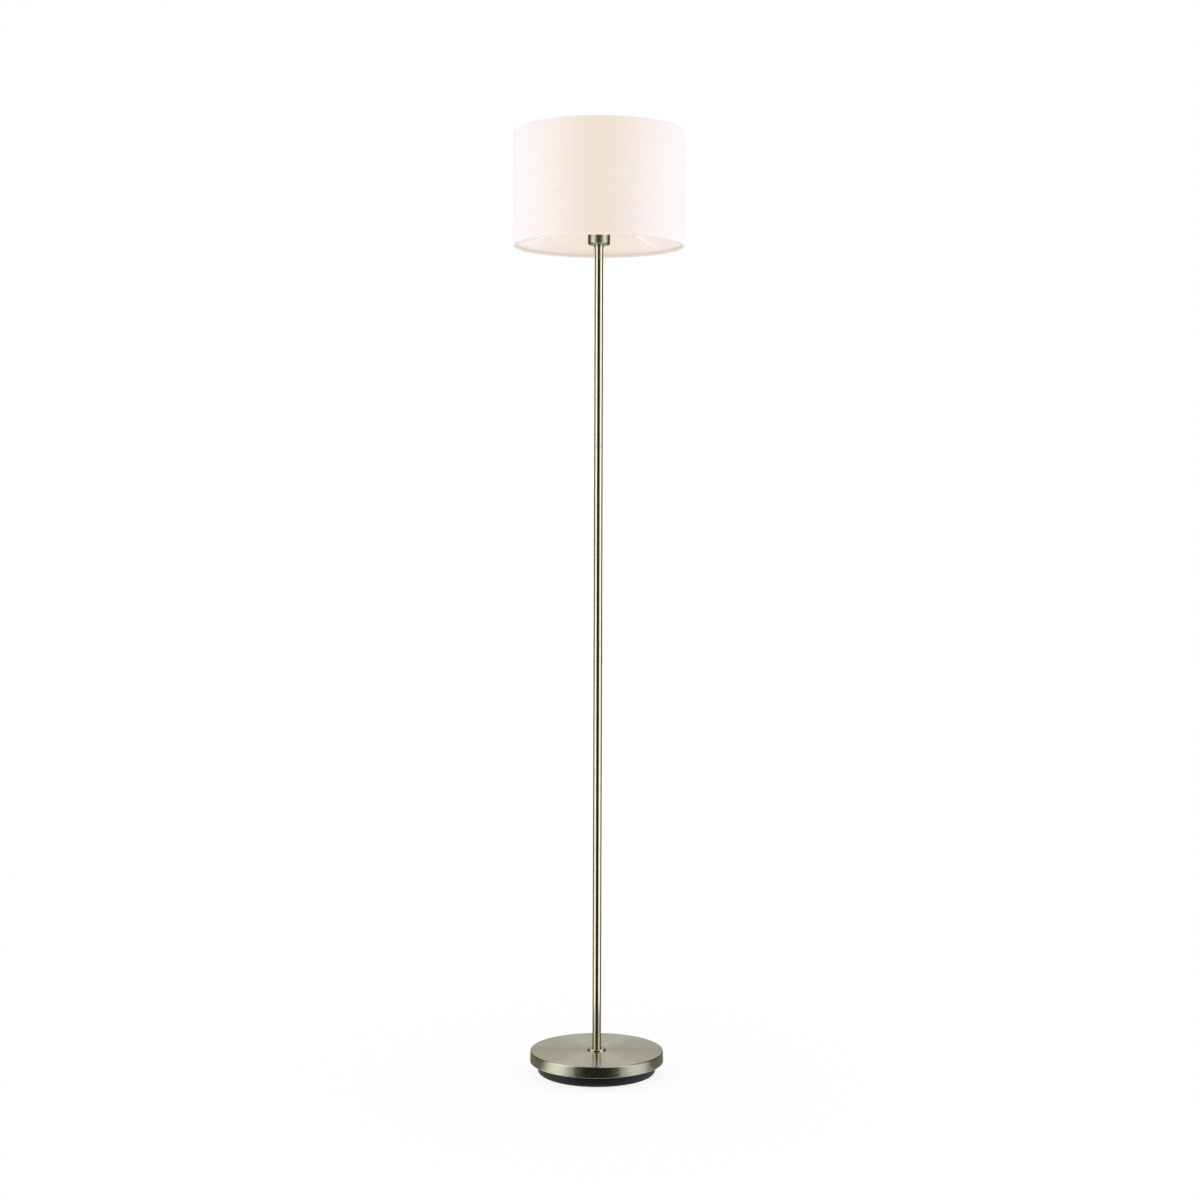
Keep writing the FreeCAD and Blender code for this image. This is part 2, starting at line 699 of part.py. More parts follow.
neck = ring("neck_ring", "sizes.neck_dia", thread_clear, "sizes.neck_high", "levels.column_top")
node(neck, "neck_ring")
top_stud = ring(
    "top_stud",
    "sizes.stud_dia",
    "sizes.stud_bore",
    "(sizes.bush_long + sizes.neck_high + sizes.cup_floor + sizes.cap_neck)",
    "levels.column_top - sizes.bush_long",
)
node(top_stud, "top_stud")


# ---------------------------------------------------------------- lampholder

# Metal cup round the holder, bevelled at its lower edge.
cup = turned(
    "socket_cup",
    [
        (thread_clear + " / 2", "0"),
        ("sizes.cup_dia / 2 - sizes.cup_bevel", "0"),
        ("sizes.cup_dia / 2", "sizes.cup_bevel"),
        ("sizes.cup_dia / 2", "sizes.cup_high"),
        ("sizes.cup_dia / 2 - sizes.cup_wall", "sizes.cup_high"),
        ("sizes.cup_dia / 2 - sizes.cup_wall", "sizes.cup_floor + sizes.cup_bevel / 2"),
        ("sizes.cup_dia / 2 - sizes.cup_wall - sizes.cup_bevel / 2", "sizes.cup_floor"),
        (thread_clear + " / 2", "sizes.cup_floor"),
    ],
    "levels.cup_foot",
)
node(cup, "socket_cup")

# Holder cap: screwed on the stud by its boss, flared to the width of the insert.
flare_foot = "(sizes.cap_neck / 2)"
flare_top = "(sizes.cap_neck / 2 + sizes.cap_slope)"
holder_cap = turned(
    "holder_cap",
    [
        (thread_clear + " / 2", "0"),
        ("sizes.cap_boss / 2", "0"),
        ("sizes.cap_boss / 2", flare_foot),
        ("sizes.cap_dia / 2", flare_top),
        ("sizes.cap_dia / 2", "sizes.cap_high"),
        ("sizes.cap_dia / 2 - sizes.cap_wall", "sizes.cap_high"),
        ("sizes.cap_dia / 2 - sizes.cap_wall", flare_top + " + sizes.cap_wall / 2"),
        ("sizes.cap_boss / 2 - sizes.cap_wall / 3", "sizes.cap_neck"),
        (thread_clear + " / 2", "sizes.cap_neck"),
    ],
    "levels.cap_foot",
)
node(holder_cap, "holder_cap")

# Holder skirt: a spigot inside the cup, then the threaded skirt with the shoulder that
# the shade ring rests on.
spigot_top = "(sizes.cup_high - sizes.cup_floor - sizes.cap_high + sizes.seat_gap)"
shoulder_low = "(sizes.shoulder_level - sizes.shoulder_thick)"
holder_body = turned(
    "holder_skirt",
    [
        ("sizes.skirt_bore / 2", "0"),
        ("sizes.cap_dia / 2", "0"),
        ("sizes.cap_dia / 2", spigot_top),
        ("sizes.skirt_dia / 2", spigot_top),
        ("sizes.skirt_dia / 2", shoulder_low),
        ("sizes.shoulder_dia / 2", shoulder_low),
        ("sizes.shoulder_dia / 2", "sizes.shoulder_level"),
        ("sizes.skirt_dia / 2", "sizes.shoulder_level"),
        ("sizes.skirt_dia / 2", "sizes.skirt_high"),
        ("sizes.skirt_bore / 2", "sizes.skirt_high"),
    ],
    "levels.holder_foot",
)
node(holder_body, "holder_skirt")

insert = turned(
    "holder_insert",
    [
        ("0", "0"),
        ("sizes.insert_dia / 2", "0"),
        ("sizes.insert_dia / 2", "sizes.insert_thick"),
        ("0", "sizes.insert_thick"),
    ],
    "levels.holder_foot",
)
node(insert, "holder_insert")
shell = ring(
    "screw_shell",
    "sizes.shell_dia",
    "(sizes.shell_dia - 2 * sizes.shell_sheet)",
    "sizes.shell_long",
    "levels.insert_top",
)
node(shell, "screw_shell")

# Centre contact: a strip folded back over itself, its tongue just under the bulb.
tongue = doc.addObject("PartDesign::Body", "centre_contact")
tongue_outline = new_sketch(tongue, "tongue_outline", "XZ_Plane")
strip = "sizes.tongue_thick"
draw_outline(
    tongue_outline,
    [
        ("-sizes.tongue_wide / 2", "0"),
        ("sizes.tongue_wide", "0"),
        ("sizes.tongue_wide", strip),
        ("-sizes.tongue_wide / 2 + " + strip, strip),
        ("-sizes.tongue_wide / 2 + " + strip, "1.2 * " + strip),
        ("sizes.tongue_wide / 2", "1.8 * %s - 0.1 * %s" % (strip, strip)),
        ("sizes.tongue_wide / 2", "2.4 * " + strip),
        ("-sizes.tongue_wide / 2", "2.2 * " + strip),
    ],
)
tongue_pad = tongue.newObject("PartDesign::Pad", "tongue_pad")
tongue_pad.Profile = tongue_outline
tongue_pad.setExpression("Length", "sizes.tongue_wide * 0.6")
tongue_pad.Midplane = True
tongue.setExpression("Placement.Base.z", "levels.insert_top")
node(tongue, "centre_contact")

terminals = []
for side in (-1, 1):
    screw = doc.addObject("Part::Cylinder", "holder_terminal_%d" % (side + 2))
    screw.setExpression("Radius", "sizes.terminal_dia / 2")
    screw.setExpression("Height", "sizes.terminal_high")
    screw.setExpression("Placement.Base.x", "%d * sizes.terminal_pitch / 2" % side)
    screw.setExpression("Placement.Base.z", "levels.holder_foot - sizes.terminal_high")
    terminals.append(screw)
group("holder_terminals", terminals)


# Two insulated wires, from the terminal block through the whole column to the holder.
def bent_path(points, radius):
    """Straight runs between the points, joined by tangent arcs."""
    edges = []
    last = points[0]
    for before, corner, after in zip(points, points[1:], points[2:]):
        back = (before - corner).normalize()
        ahead = (after - corner).normalize()
        half_turn = (math.pi - back.getAngle(ahead)) / 2
        reach = radius * math.tan(half_turn)
        start = corner + back * reach
        stop = corner + ahead * reach
        bisector = (back + ahead).normalize()
        middle = corner + bisector * (radius / math.cos(half_turn) - radius)
        edges.append(Part.LineSegment(last, start).toShape())
        edges.append(Part.Arc(start, middle, stop).toShape())
        last = stop
    edges.append(Part.LineSegment(last, points[-1]).toShape())
    return Part.Wire(edges)


def round_pipe(path, diameter):
    """A round bar along a path."""
    start = path.Edges[0]
    direction = start.tangentAt(start.FirstParameter)
    section = Part.Wire([Part.Circle(start.Vertexes[0].Point, direction, diameter / 2).toShape()])
    return path.makePipeShell([section], True, False)


block_front = value("sizes.block_back - sizes.clamp_long / 2")
wire_level = value("levels.weight_foot + sizes.pole_level")
wire_spread = value("levels.cap_foot + sizes.cap_neck + sizes.core_bend")
terminal_level = value("levels.holder_foot - sizes.terminal_high - sizes.seat_gap")
for side, name in ((-1, "neutral_wire"), (1, "live_wire")):
    pole_x = side * value("sizes.pole_pitch / 2")
    column_x = side * value("sizes.core_pitch / 2")
    terminal_x = side * value("sizes.terminal_pitch / 2")
    bend = value("sizes.core_bend")
    route = [
        FreeCAD.Vector(pole_x, block_front + value("sizes.core_dia"), wire_level),
        FreeCAD.Vector(pole_x, block_front - bend, wire_level),
        FreeCAD.Vector(column_x, 0, wire_level),
        FreeCAD.Vector(column_x, 0, wire_spread),
        FreeCAD.Vector(terminal_x, 0, terminal_level - bend),
        FreeCAD.Vector(terminal_x, 0, terminal_level),
    ]
    core = doc.addObject("Part::Feature", name)
    core.Shape = round_pipe(bent_path(route, bend * 0.9), value("sizes.core_dia"))
    core.Placement = FreeCAD.Placement()
    node(core, name)


# ---------------------------------------------------------------- shade

# Shade ring nut: a threaded ring with a plain flange below and finger flutes above.
nut_bore_radius = "(sizes.skirt_dia / 2 + sizes.seat_gap)"
shade_nut = turned(
    "shade_ring_nut",
    [
        (nut_bore_radius, "0"),
        ("sizes.ring_nut_dia / 2", "0"),
        ("sizes.ring_nut_dia / 2", "sizes.ring_nut_flange"),
        ("sizes.ring_nut_land / 2", "sizes.ring_nut_flange"),
        ("sizes.ring_nut_land / 2", "sizes.ring_nut_high"),
        (nut_bore_radius, "sizes.ring_nut_high"),
    ],
    "levels.ring_nut_foot",
)
plain_nut = shade_nut.Shape.Volume
flute = primitive(
    shade_nut,
    "SubtractiveCylinder",
    "flute",
    {
        "Radius": "sizes.flute_dia / 2",
        "Height": "sizes.ring_nut_high",
        "Placement.Base.x": "sizes.ring_nut_land / 2 + sizes.flute_dia / 8",
        "Placement.Base.z": "sizes.ring_nut_flange",
    },
)
polar(shade_nut, "flutes", [flute], 20)
must_cut(shade_nut, plain_nut, "the flutes")
node(shade_nut, "shade_ring_nut")

# Skin of the drum: fabric and liner are rolled together round the wire rings at both
# edges and tucked up inside.
wire_circle = "(sizes.shade_dia / 2 - sizes.fabric_thick - sizes.liner_thick - %s)"
wire_circle = wire_circle % "sizes.wire_gap - sizes.rim_wire / 2"
wire_reach = "(sizes.rim_wire / 2 + sizes.wire_gap)"
liner_roll = "(sizes.rim_wire / 2 + sizes.wire_gap + sizes.liner_thick)"
fabric_roll = "(sizes.rim_wire / 2 + sizes.wire_gap + sizes.liner_thick + sizes.fabric_thick)"
low_wire = fabric_roll
high_wire = "(sizes.shade_high - %s)" % fabric_roll


def rolled_skin(name, outer, inner):
    """A drum skin with both edges rolled inwards; outer and inner are the roll's radii."""
    out_side = "%s + %s" % (wire_circle, outer)
    out_wall = "%s + %s" % (wire_circle, inner)
    in_wall = "%s - %s" % (wire_circle, inner)
    in_side = "%s - %s" % (wire_circle, outer)
    low_tuck = low_wire + " + sizes.hem_tuck"
    high_tuck = high_wire + " - sizes.hem_tuck"
    corners = [
        (out_side, low_wire),
        (out_side, high_wire, (wire_circle, high_wire, 1)),
        (in_side, high_wire),
        (in_side, high_tuck),
        (in_wall, high_tuck),
        (in_wall, high_wire, (wire_circle, high_wire, -1)),
        (out_wall, high_wire),
        (out_wall, low_wire, (wire_circle, low_wire, -1)),
        (in_wall, low_wire),
        (in_wall, low_tuck),
        (in_side, low_tuck),
        (in_side, low_wire, (wire_circle, low_wire, 1)),
    ]
    return node(turned(name, corners, "levels.shade_foot"), name)


rolled_skin("shade_fabric", fabric_roll, liner_roll)
rolled_skin("shade_liner", liner_roll, wire_reach)

for name, height in (("shade_top_wire", high_wire), ("shade_bottom_wire", low_wire)):
    wire_ring = doc.addObject("Part::Torus", name)
    wire_ring.setExpression("Radius1", wire_circle)
    wire_ring.setExpression("Radius2", "sizes.rim_wire / 2")
    wire_ring.setExpression("Placement.Base.z", "levels.shade_foot + " + height)
    node(wire_ring, name)

# Spider: the ring that drops over the holder, and three wires welded under it that slope
# down to the bottom wire of the shade.
spider = ring("shade_spider", "sizes.fitter_dia", "sizes.fitter_bore", "sizes.fitter_thick")
arm_radius = value("sizes.arm_dia / 2")
tab_end = value("sizes.fitter_dia / 2")
tab_level = value("sizes.arm_sink - sizes.arm_dia / 2")
far_end = value(wire_circle)
far_level = value("sizes.rim_wire / 2 + %s - sizes.spider_recess" % low_wire)
slope = math.atan2(tab_level - far_level, far_end - tab_end)
for _ in range(3):
    far_axis = far_level + (arm_radius + value("sizes.thread_gap")) / math.cos(slope)
    slope = math.atan2(tab_level - far_axis, far_end - tab_end)
arm_route = [
    FreeCAD.Vector(tab_end - value("sizes.arm_tab"), 0, tab_level),
    FreeCAD.Vector(tab_end, 0, tab_level),
    FreeCAD.Vector(far_end, 0, far_axis),
]
arm_solid = round_pipe(bent_path(arm_route, value("sizes.arm_bend")), value("sizes.arm_dia"))
arms = []
for number in range(3):
    arm = doc.addObject("Part::Feature", "spider_arm_%d" % (number + 1))
    arm.Shape = arm_solid
    arm.Placement = FreeCAD.Placement(
        FreeCAD.Vector(), FreeCAD.Rotation(FreeCAD.Vector(0, 0, 1), 120 * number)
    )
    arms.append(arm)
frame = doc.addObject("Part::MultiFuse", "shade_spider_frame")
frame.Shapes = [spider] + arms
frame.Placement = FreeCAD.Placement(
    FreeCAD.Vector(), FreeCAD.Rotation(FreeCAD.Vector(0, 0, 1), value("sizes.spider_angle"))
)
frame.setExpression("Placement.Base.z", "levels.fitter_foot")
spider.Label = "spider_ring"
node(frame, "shade_spider")


# ---------------------------------------------------------------- bulb

bulb_contact = turned(
    "bulb_contact",
    [
        ("0", "0"),
        ("sizes.contact_dia / 4", "0"),
        ("sizes.contact_dia / 2", "sizes.contact_thick"),
        ("0", "sizes.contact_thick"),
    ],
    "levels.bulb_foot",
)
node(bulb_contact, "bulb_contact")
cap_radius = "sizes.screw_cap_dia / 2"
cap_inside = "(sizes.screw_cap_dia / 2 - sizes.screw_cap_sheet)"
bulb_insulator = turned(
    "bulb_insulator",
    [
        ("0", "sizes.contact_thick"),
        ("sizes.contact_dia / 2", "sizes.contact_thick"),
        (cap_inside, "sizes.screw_cap_foot"),
        ("0", "sizes.screw_cap_foot"),
    ],
    "levels.bulb_foot",
)
node(bulb_insulator, "bulb_insulator")
screw_cap = turned(
    "bulb_screw_cap",
    [
        (cap_inside, "sizes.screw_cap_foot"),
        (cap_radius, "sizes.screw_cap_foot"),
        (cap_radius, "sizes.screw_cap_top"),
        (cap_inside, "sizes.screw_cap_top"),
    ],
    "levels.bulb_foot",
)
node(screw_cap, "bulb_screw_cap")

# Housing: a spigot in the screw cap, then a hollow cone up to the globe, with a shelf inside
# for the light board.
globe_radius = "sizes.bulb_dia / 2"
board_level = "(sizes.bulb_waist - 2 * sizes.board_thick)"
housing = turned(
    "bulb_housing",
    [
        ("0", "sizes.screw_cap_top / 2"),
        (cap_inside + " - sizes.thread_gap", "sizes.screw_cap_top / 2"),
        (cap_inside + " - sizes.thread_gap", "sizes.screw_cap_top + sizes.thread_gap"),
        ("sizes.bulb_neck / 2", "sizes.screw_cap_top + sizes.thread_gap"),
        (globe_radius, "sizes.bulb_waist"),
        ("sizes.board_dia / 2 + sizes.thread_gap", "sizes.bulb_waist"),
        ("sizes.board_dia / 2 + sizes.thread_gap", board_level),
        ("sizes.board_dia / 2 - sizes.board_thick", board_level),
        ("sizes.bulb_neck / 2 - sizes.bulb_sheet", "sizes.screw_cap_top + 3 * sizes.bulb_sheet"),
        ("0", "sizes.screw_cap_top + 3 * sizes.bulb_sheet"),
    ],
    "levels.bulb_foot",
)
node(housing, "bulb_housing")
board = turned(
    "light_board",
    [
        ("0", board_level),
        ("sizes.board_dia / 2", board_level),
        ("sizes.board_dia / 2", board_level + " + sizes.board_thick"),
        ("0", board_level + " + sizes.board_thick"),
    ],
    "levels.bulb_foot",
)
node(board, "light_board")

# Globe: a spherical cap closed by a short cylinder that stands on the housing.
globe_centre = "(sizes.bulb_high - sizes.bulb_dia / 2)"
globe_foot = "(sizes.bulb_waist + sizes.thread_gap)"
globe_inside = "(sizes.bulb_dia / 2 - sizes.bulb_sheet)"
globe = turned(
    "bulb_globe",
    [
        (globe_inside, globe_foot),
        (globe_radius, globe_foot),
        (globe_radius, globe_centre, ("0", globe_centre, 1)),
        ("0", "sizes.bulb_high"),
        ("0", "sizes.bulb_high - sizes.bulb_sheet", ("0", globe_centre, -1)),
        (globe_inside, globe_centre),
    ],
    "levels.bulb_foot",
)
node(globe, "bulb_globe")


# ---------------------------------------------------------------- checks and files

doc.recompute()
for item in doc.Objects:
    if "Invalid" in item.State or "Error" in item.State:
        raise ValueError("%s is %s" % (item.Label, item.State))
for piece in nodes:
    if piece.Shape.isNull() or not piece.Shape.isValid():
        raise ValueError("%s has no valid shape" % piece.Label)

os.makedirs("parts", exist_ok=True)
for piece in nodes:
    piece.Shape.exportStep(os.path.join("parts", piece.Label + ".step"))
    print("%-28s %2d solid %12.1f mm3" % (piece.Label, len(piece.Shape.Solids), piece.Shape.Volume))
box = FreeCAD.BoundBox()
for piece in nodes:
    box.add(piece.Shape.optimalBoundingBox())
print("%d nodes, %.1f x %.1f x %.1f mm" % (len(nodes), box.XLength, box.YLength, box.ZLength))
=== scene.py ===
# %% [markdown]
# # A column floor lamp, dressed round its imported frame
# The frame holds every piece at its true size. This script gives each piece its finish, makes
# the finer pieces again as smooth meshes, and sets up a plain studio with a camera where the
# photograph was taken. Loading the frame comes first, because every size is read from it.

# %% Load the frame
import json
import math
import bpy
from mathutils import Matrix, Vector

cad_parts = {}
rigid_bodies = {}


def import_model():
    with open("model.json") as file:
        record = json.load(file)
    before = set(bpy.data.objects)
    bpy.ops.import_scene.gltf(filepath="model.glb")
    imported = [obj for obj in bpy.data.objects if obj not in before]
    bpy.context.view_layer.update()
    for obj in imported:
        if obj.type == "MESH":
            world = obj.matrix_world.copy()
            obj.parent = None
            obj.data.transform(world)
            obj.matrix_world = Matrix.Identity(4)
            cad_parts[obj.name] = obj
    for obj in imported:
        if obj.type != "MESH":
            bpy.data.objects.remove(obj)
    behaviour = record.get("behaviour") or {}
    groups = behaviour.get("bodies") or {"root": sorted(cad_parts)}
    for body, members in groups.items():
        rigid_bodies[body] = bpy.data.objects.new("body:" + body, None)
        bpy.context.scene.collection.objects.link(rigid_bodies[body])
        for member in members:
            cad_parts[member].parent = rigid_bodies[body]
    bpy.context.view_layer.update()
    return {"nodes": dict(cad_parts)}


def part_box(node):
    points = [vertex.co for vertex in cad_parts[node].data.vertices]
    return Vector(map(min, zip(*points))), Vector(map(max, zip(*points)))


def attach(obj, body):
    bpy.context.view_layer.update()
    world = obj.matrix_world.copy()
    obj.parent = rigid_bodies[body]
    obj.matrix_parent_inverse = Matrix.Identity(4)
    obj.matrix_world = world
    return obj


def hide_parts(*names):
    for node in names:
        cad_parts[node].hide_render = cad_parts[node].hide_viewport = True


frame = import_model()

MM = 0.001
nodes = frame["nodes"]
scene = bpy.context.scene
scene.view_settings.view_transform = "Standard"

# %% [markdown]
# ## Small helpers
# Colours are written as the hex values one would pick from a picture. A shader works in linear
# light, so one function turns hex into linear. One more adds a node with its settings and links,
# and two others start a material and paint pieces with it.

# %% Colours, nodes and materials
def linear(hex_colour, alpha=1.0):
    """sRGB hex such as "#A09070" to a linear RGBA tuple."""
    channels = []
    for start in (1, 3, 5):
        value = int(hex_colour[start:start + 2], 16) / 255
        channels.append(value / 12.92 if value <= 0.04045 else ((value + 0.055) / 1.055) ** 2.4)
    return (*channels, alpha)


def add_node(tree, kind, settings=None, links=None):
    """Adds a node. settings and links go by socket name or number; settings that name no
    socket are properties of the node. A link's value is the output socket it comes from."""
    made = tree.nodes.new(kind)
    for key, value in (settings or {}).items():
        if isinstance(key, int) or key in made.inputs:
            made.inputs[key].default_value = value
        else:
            setattr(made, key, value)
    for key, source in (links or {}).items():
        tree.links.new(source, made.inputs[key])
    return made


def new_material(name):
    """An empty material and its node tree."""
    material = bpy.data.materials.new(name)
    material.use_nodes = True
    material.node_tree.nodes.clear()
    return material, material.node_tree


def finish_with(tree, shader):
    """Links a shader to a new material output."""
    add_node(tree, "ShaderNodeOutputMaterial", links={"Surface": shader.outputs[0]})


def paint(material, *names):
    """Gives carried-over pieces of the frame a material."""
    for name in names:
        nodes[name].data.materials.clear()
        nodes[name].data.materials.append(material)
    print(material.name, "->", ", ".join(names))

# %% [markdown]
# ## Camera
# The ellipses of the shade's rims and of the base fix the camera. It stands 3.28 m in front of
# the column, 0.887 m above the floor, and looks level. The horizon lies above the middle of the
# picture, which a shifted lens does without tilting the column.

# %% Camera
PICTURE = 1200
HORIZON_ROW = 527
FOCAL_PIXELS = 2016
EYE = Vector((0.0, -3.28, 0.8874))
ROLL_DEGREES = 0.17
AXIS_LEFT_PIXELS = 1.8
SENSOR = 36.0

camera_data = bpy.data.cameras.new("studio_camera")
camera_data.sensor_width = SENSOR
camera_data.lens = FOCAL_PIXELS / PICTURE * SENSOR
camera_data.shift_y = (HORIZON_ROW - PICTURE / 2) / PICTURE
camera_data.shift_x = AXIS_LEFT_PIXELS / PICTURE
camera = bpy.data.objects.new("studio_camera", camera_data)
scene.collection.objects.link(camera)
level = Matrix.Rotation(math.pi / 2, 4, "X") @ Matrix.Rotation(math.radians(ROLL_DEGREES), 4, "Z")
camera.matrix_world = Matrix.Translation(EYE) @ level
scene.camera = camera
print("lens", round(camera_data.lens, 2), "mm, shift", round(camera_data.shift_y, 4))

# %% [markdown]
# ## Studio
# The room is a soft, slightly warm white, and two cooler fill lights at the sides whiten the
# flanks of the shade, as window light would. Camera rays and mirrored rays see a pure white
# world, so the background is white without any more light on the lamp. The floor is white paint
# near the lamp, where it keeps a faint shadow, and runs out into the white world.

# %% World, floor and fill lights
world = bpy.data.worlds.new("white_studio")
scene.world = world
world.use_nodes = True
sky = world.node_tree
sky.nodes.clear()
ROOM_STRENGTH = 1.03
rays = add_node(sky, "ShaderNodeLightPath")
seen = add_node(sky, "ShaderNodeMath", {"operation": "MAXIMUM"},
                {0: rays.outputs["Is Camera Ray"], 1: rays.outputs["Is Glossy Ray"]})
seen = add_node(sky, "ShaderNodeMath", {"operation": "MAXIMUM"},
                {0: seen.outputs[0], 1: rays.outputs["Is Transmission Ray"]})
room = add_node(sky, "ShaderNodeBackground",
                {"Color": linear("#FBF1E3"), "Strength": ROOM_STRENGTH})
white = add_node(sky, "ShaderNodeBackground", {"Color": linear("#FFFFFF"), "Strength": 1.0})
shown = add_node(sky, "ShaderNodeMixShader", None,
                 {"Fac": seen.outputs[0], 1: room.outputs[0], 2: white.outputs[0]})
add_node(sky, "ShaderNodeOutputWorld", links={"Surface": shown.outputs[0]})

FLOOR_RADIUS = 6.0
FLOOR_SIDES = 96
FLOOR_LEVEL = -0.2 * MM
SHADOW_FADE = (0.12, 0.6)
GLOW_NEAR = 0.87
floor_mesh = bpy.data.meshes.new("pale_floor")
turns = [2 * math.pi * side / FLOOR_SIDES for side in range(FLOOR_SIDES)]
spots = [(FLOOR_RADIUS * math.cos(turn), FLOOR_RADIUS * math.sin(turn), FLOOR_LEVEL) for turn in turns]
floor_mesh.from_pydata(spots, [], [list(range(FLOOR_SIDES))])
floor = bpy.data.objects.new("pale_floor", floor_mesh)
scene.collection.objects.link(floor)
floor_paint, tree = new_material("white_floor_paint")
place = add_node(tree, "ShaderNodeTexCoord")
away = add_node(tree, "ShaderNodeVectorMath", {"operation": "LENGTH"}, {0: place.outputs["Object"]})
fade = add_node(tree, "ShaderNodeMapRange",
                {"From Min": SHADOW_FADE[0], "From Max": SHADOW_FADE[1],
                 "To Min": GLOW_NEAR, "To Max": 1.0},
                {"Value": away.outputs["Value"]})
rays = add_node(tree, "ShaderNodeLightPath")
seen = add_node(tree, "ShaderNodeMath", {"operation": "MAXIMUM"},
                {0: rays.outputs["Is Camera Ray"], 1: rays.outputs["Is Glossy Ray"]})
share = add_node(tree, "ShaderNodeMath", {"operation": "MULTIPLY"},
                 {0: fade.outputs[0], 1: seen.outputs[0]})
matt = add_node(tree, "ShaderNodeBsdfDiffuse", {"Color": linear("#F6F6F6")})
glow = add_node(tree, "ShaderNodeEmission", {"Color": linear("#FFFFFF"), "Strength": 1.0})
finish_with(tree, add_node(tree, "ShaderNodeMixShader", None,
                           {"Fac": share.outputs[0], 1: matt.outputs[0], 2: glow.outputs[0]}))
floor_mesh.materials.append(floor_paint)


def fill_light(name, azimuth, distance, height, size, watts, colour):
    """A rectangular lamp aimed at the column, which mirrored rays don't see; azimuth turns
    from the camera towards +X."""
    data = bpy.data.lights.new(name, "AREA")
    data.shape = "RECTANGLE"
    data.size, data.size_y = size
    data.energy = watts
    data.color = linear(colour)[:3]
    lamp = bpy.data.objects.new(name, data)
    scene.collection.objects.link(lamp)
    turn = math.radians(azimuth)
    spot = Vector((math.sin(turn) * distance, -math.cos(turn) * distance, height))
    aim = (Vector((0, 0, height)) - spot).to_track_quat("-Z", "Y")
    lamp.matrix_world = Matrix.Translation(spot) @ aim.to_matrix().to_4x4()
    lamp.visible_camera = False
    lamp.visible_glossy = False


FILL_DISTANCE = 2.0
FILL_HEIGHT = 1.0
FILL_SIZE = (0.8, 2.4)
FILL_WATTS = 21.0
FILL_COLOUR = "#9FC5FF"
fill_light("left_fill", -90, FILL_DISTANCE, FILL_HEIGHT, FILL_SIZE, FILL_WATTS, FILL_COLOUR)
fill_light("right_fill", 90, FILL_DISTANCE, FILL_HEIGHT, FILL_SIZE, FILL_WATTS, FILL_COLOUR)
print("room", ROOM_STRENGTH, "fills:", [light.name for light in bpy.data.lights])

# %% [markdown]
# ## What the metal mirrors
# Brushed metal shows its form by what it mirrors. Tall bright screens stand at both sides, with
# a dark curtain behind the camera that comes forward over the floor, and a dark flag behind each
# screen. That gives a thin column its dark edges, two bright stripes and dark middle. The flat
# base mirrors what lies low around it, so screens and flags go on as cards near the floor, and a
# low backdrop stands behind the lamp. All are seen only in mirrored rays and light nothing.

# %% Screens, curtain and flags
CARD_STEPS = 24
CARD_OVER_FLOOR = 0.4 * MM


def mirror_card(name, azimuths, distance, heights, colours, strength=1.0, reach=None):
    """A curved card that only mirrored rays see, with one colour in the middle and one at its
    two ends; reach carries it on over the floor towards the lamp, to that distance."""
    profile = [(distance, height) for height in heights]
    if reach is not None:
        profile = [(reach, CARD_OVER_FLOOR), (distance, CARD_OVER_FLOOR)] + profile[1:]
    rows, verts, tones = len(profile), [], []
    for step in range(CARD_STEPS + 1):
        turn = math.radians(azimuths[0] + (azimuths[1] - azimuths[0]) * step / CARD_STEPS)
        verts += [(math.sin(turn) * far, -math.cos(turn) * far, height) for far, height in profile]
        tones += [abs(2 * step / CARD_STEPS - 1)] * rows
    faces = [(rows * i + j, rows * i + rows + j, rows * i + rows + j + 1, rows * i + j + 1)
             for i in range(CARD_STEPS) for j in range(rows - 1)]
    mesh = bpy.data.meshes.new(name)
    mesh.from_pydata(verts, [], faces)
    tone = mesh.attributes.new("towards_end", "FLOAT", "POINT")
    tone.data.foreach_set("value", tones)
    card = bpy.data.objects.new(name, mesh)
    scene.collection.objects.link(card)
    cloth, tree = new_material(name + "_cloth")
    towards_end = add_node(tree, "ShaderNodeAttribute", {"attribute_name": "towards_end"})
    ramp = add_node(tree, "ShaderNodeValToRGB", None, {"Fac": towards_end.outputs["Fac"]})
    ramp.color_ramp.elements[0].position = 0.45
    ramp.color_ramp.elements[0].color = linear(colours[0])
    ramp.color_ramp.elements[1].color = linear(colours[1])
    finish_with(tree, add_node(tree, "ShaderNodeEmission", {"Strength": strength},
                               {"Color": ramp.outputs[0]}))
    mesh.materials.append(cloth)
    card.visible_camera = card.visible_diffuse = False
    card.visible_shadow = card.visible_transmission = False


CARD_FROM_LAMP = 0.12
NEAR_CARDS_END = 0.45
SCREEN_TONES = ("#FFFFFF", "#E0E0E0")
FLAG_TONES = ("#3C3A2C", "#4A483A")
NEAR_FLAG_TONES = ("#908D7E", "#908D7E")
CURTAIN_TONES = ("#2A2A1E", "#8C8A7C")
BACKDROP_TONES = ("#C0BEB4", "#D8D8D2")
mirror_card("left_screen", (-88, -38), 1.8, (0.0, 2.4), SCREEN_TONES, 2.2, NEAR_CARDS_END)
mirror_card("right_screen", (38, 88), 1.8, (0.0, 2.4), SCREEN_TONES, 2.2, NEAR_CARDS_END)
mirror_card("left_near_screen", (-75, -40), NEAR_CARDS_END, (0.0,), SCREEN_TONES, 1.3, CARD_FROM_LAMP)
mirror_card("right_near_screen", (40, 75), NEAR_CARDS_END, (0.0,), SCREEN_TONES, 0.85, CARD_FROM_LAMP)
mirror_card("dark_curtain", (-40, 40), 4.2, (0.0, 8.0), CURTAIN_TONES, 1.0, CARD_FROM_LAMP)
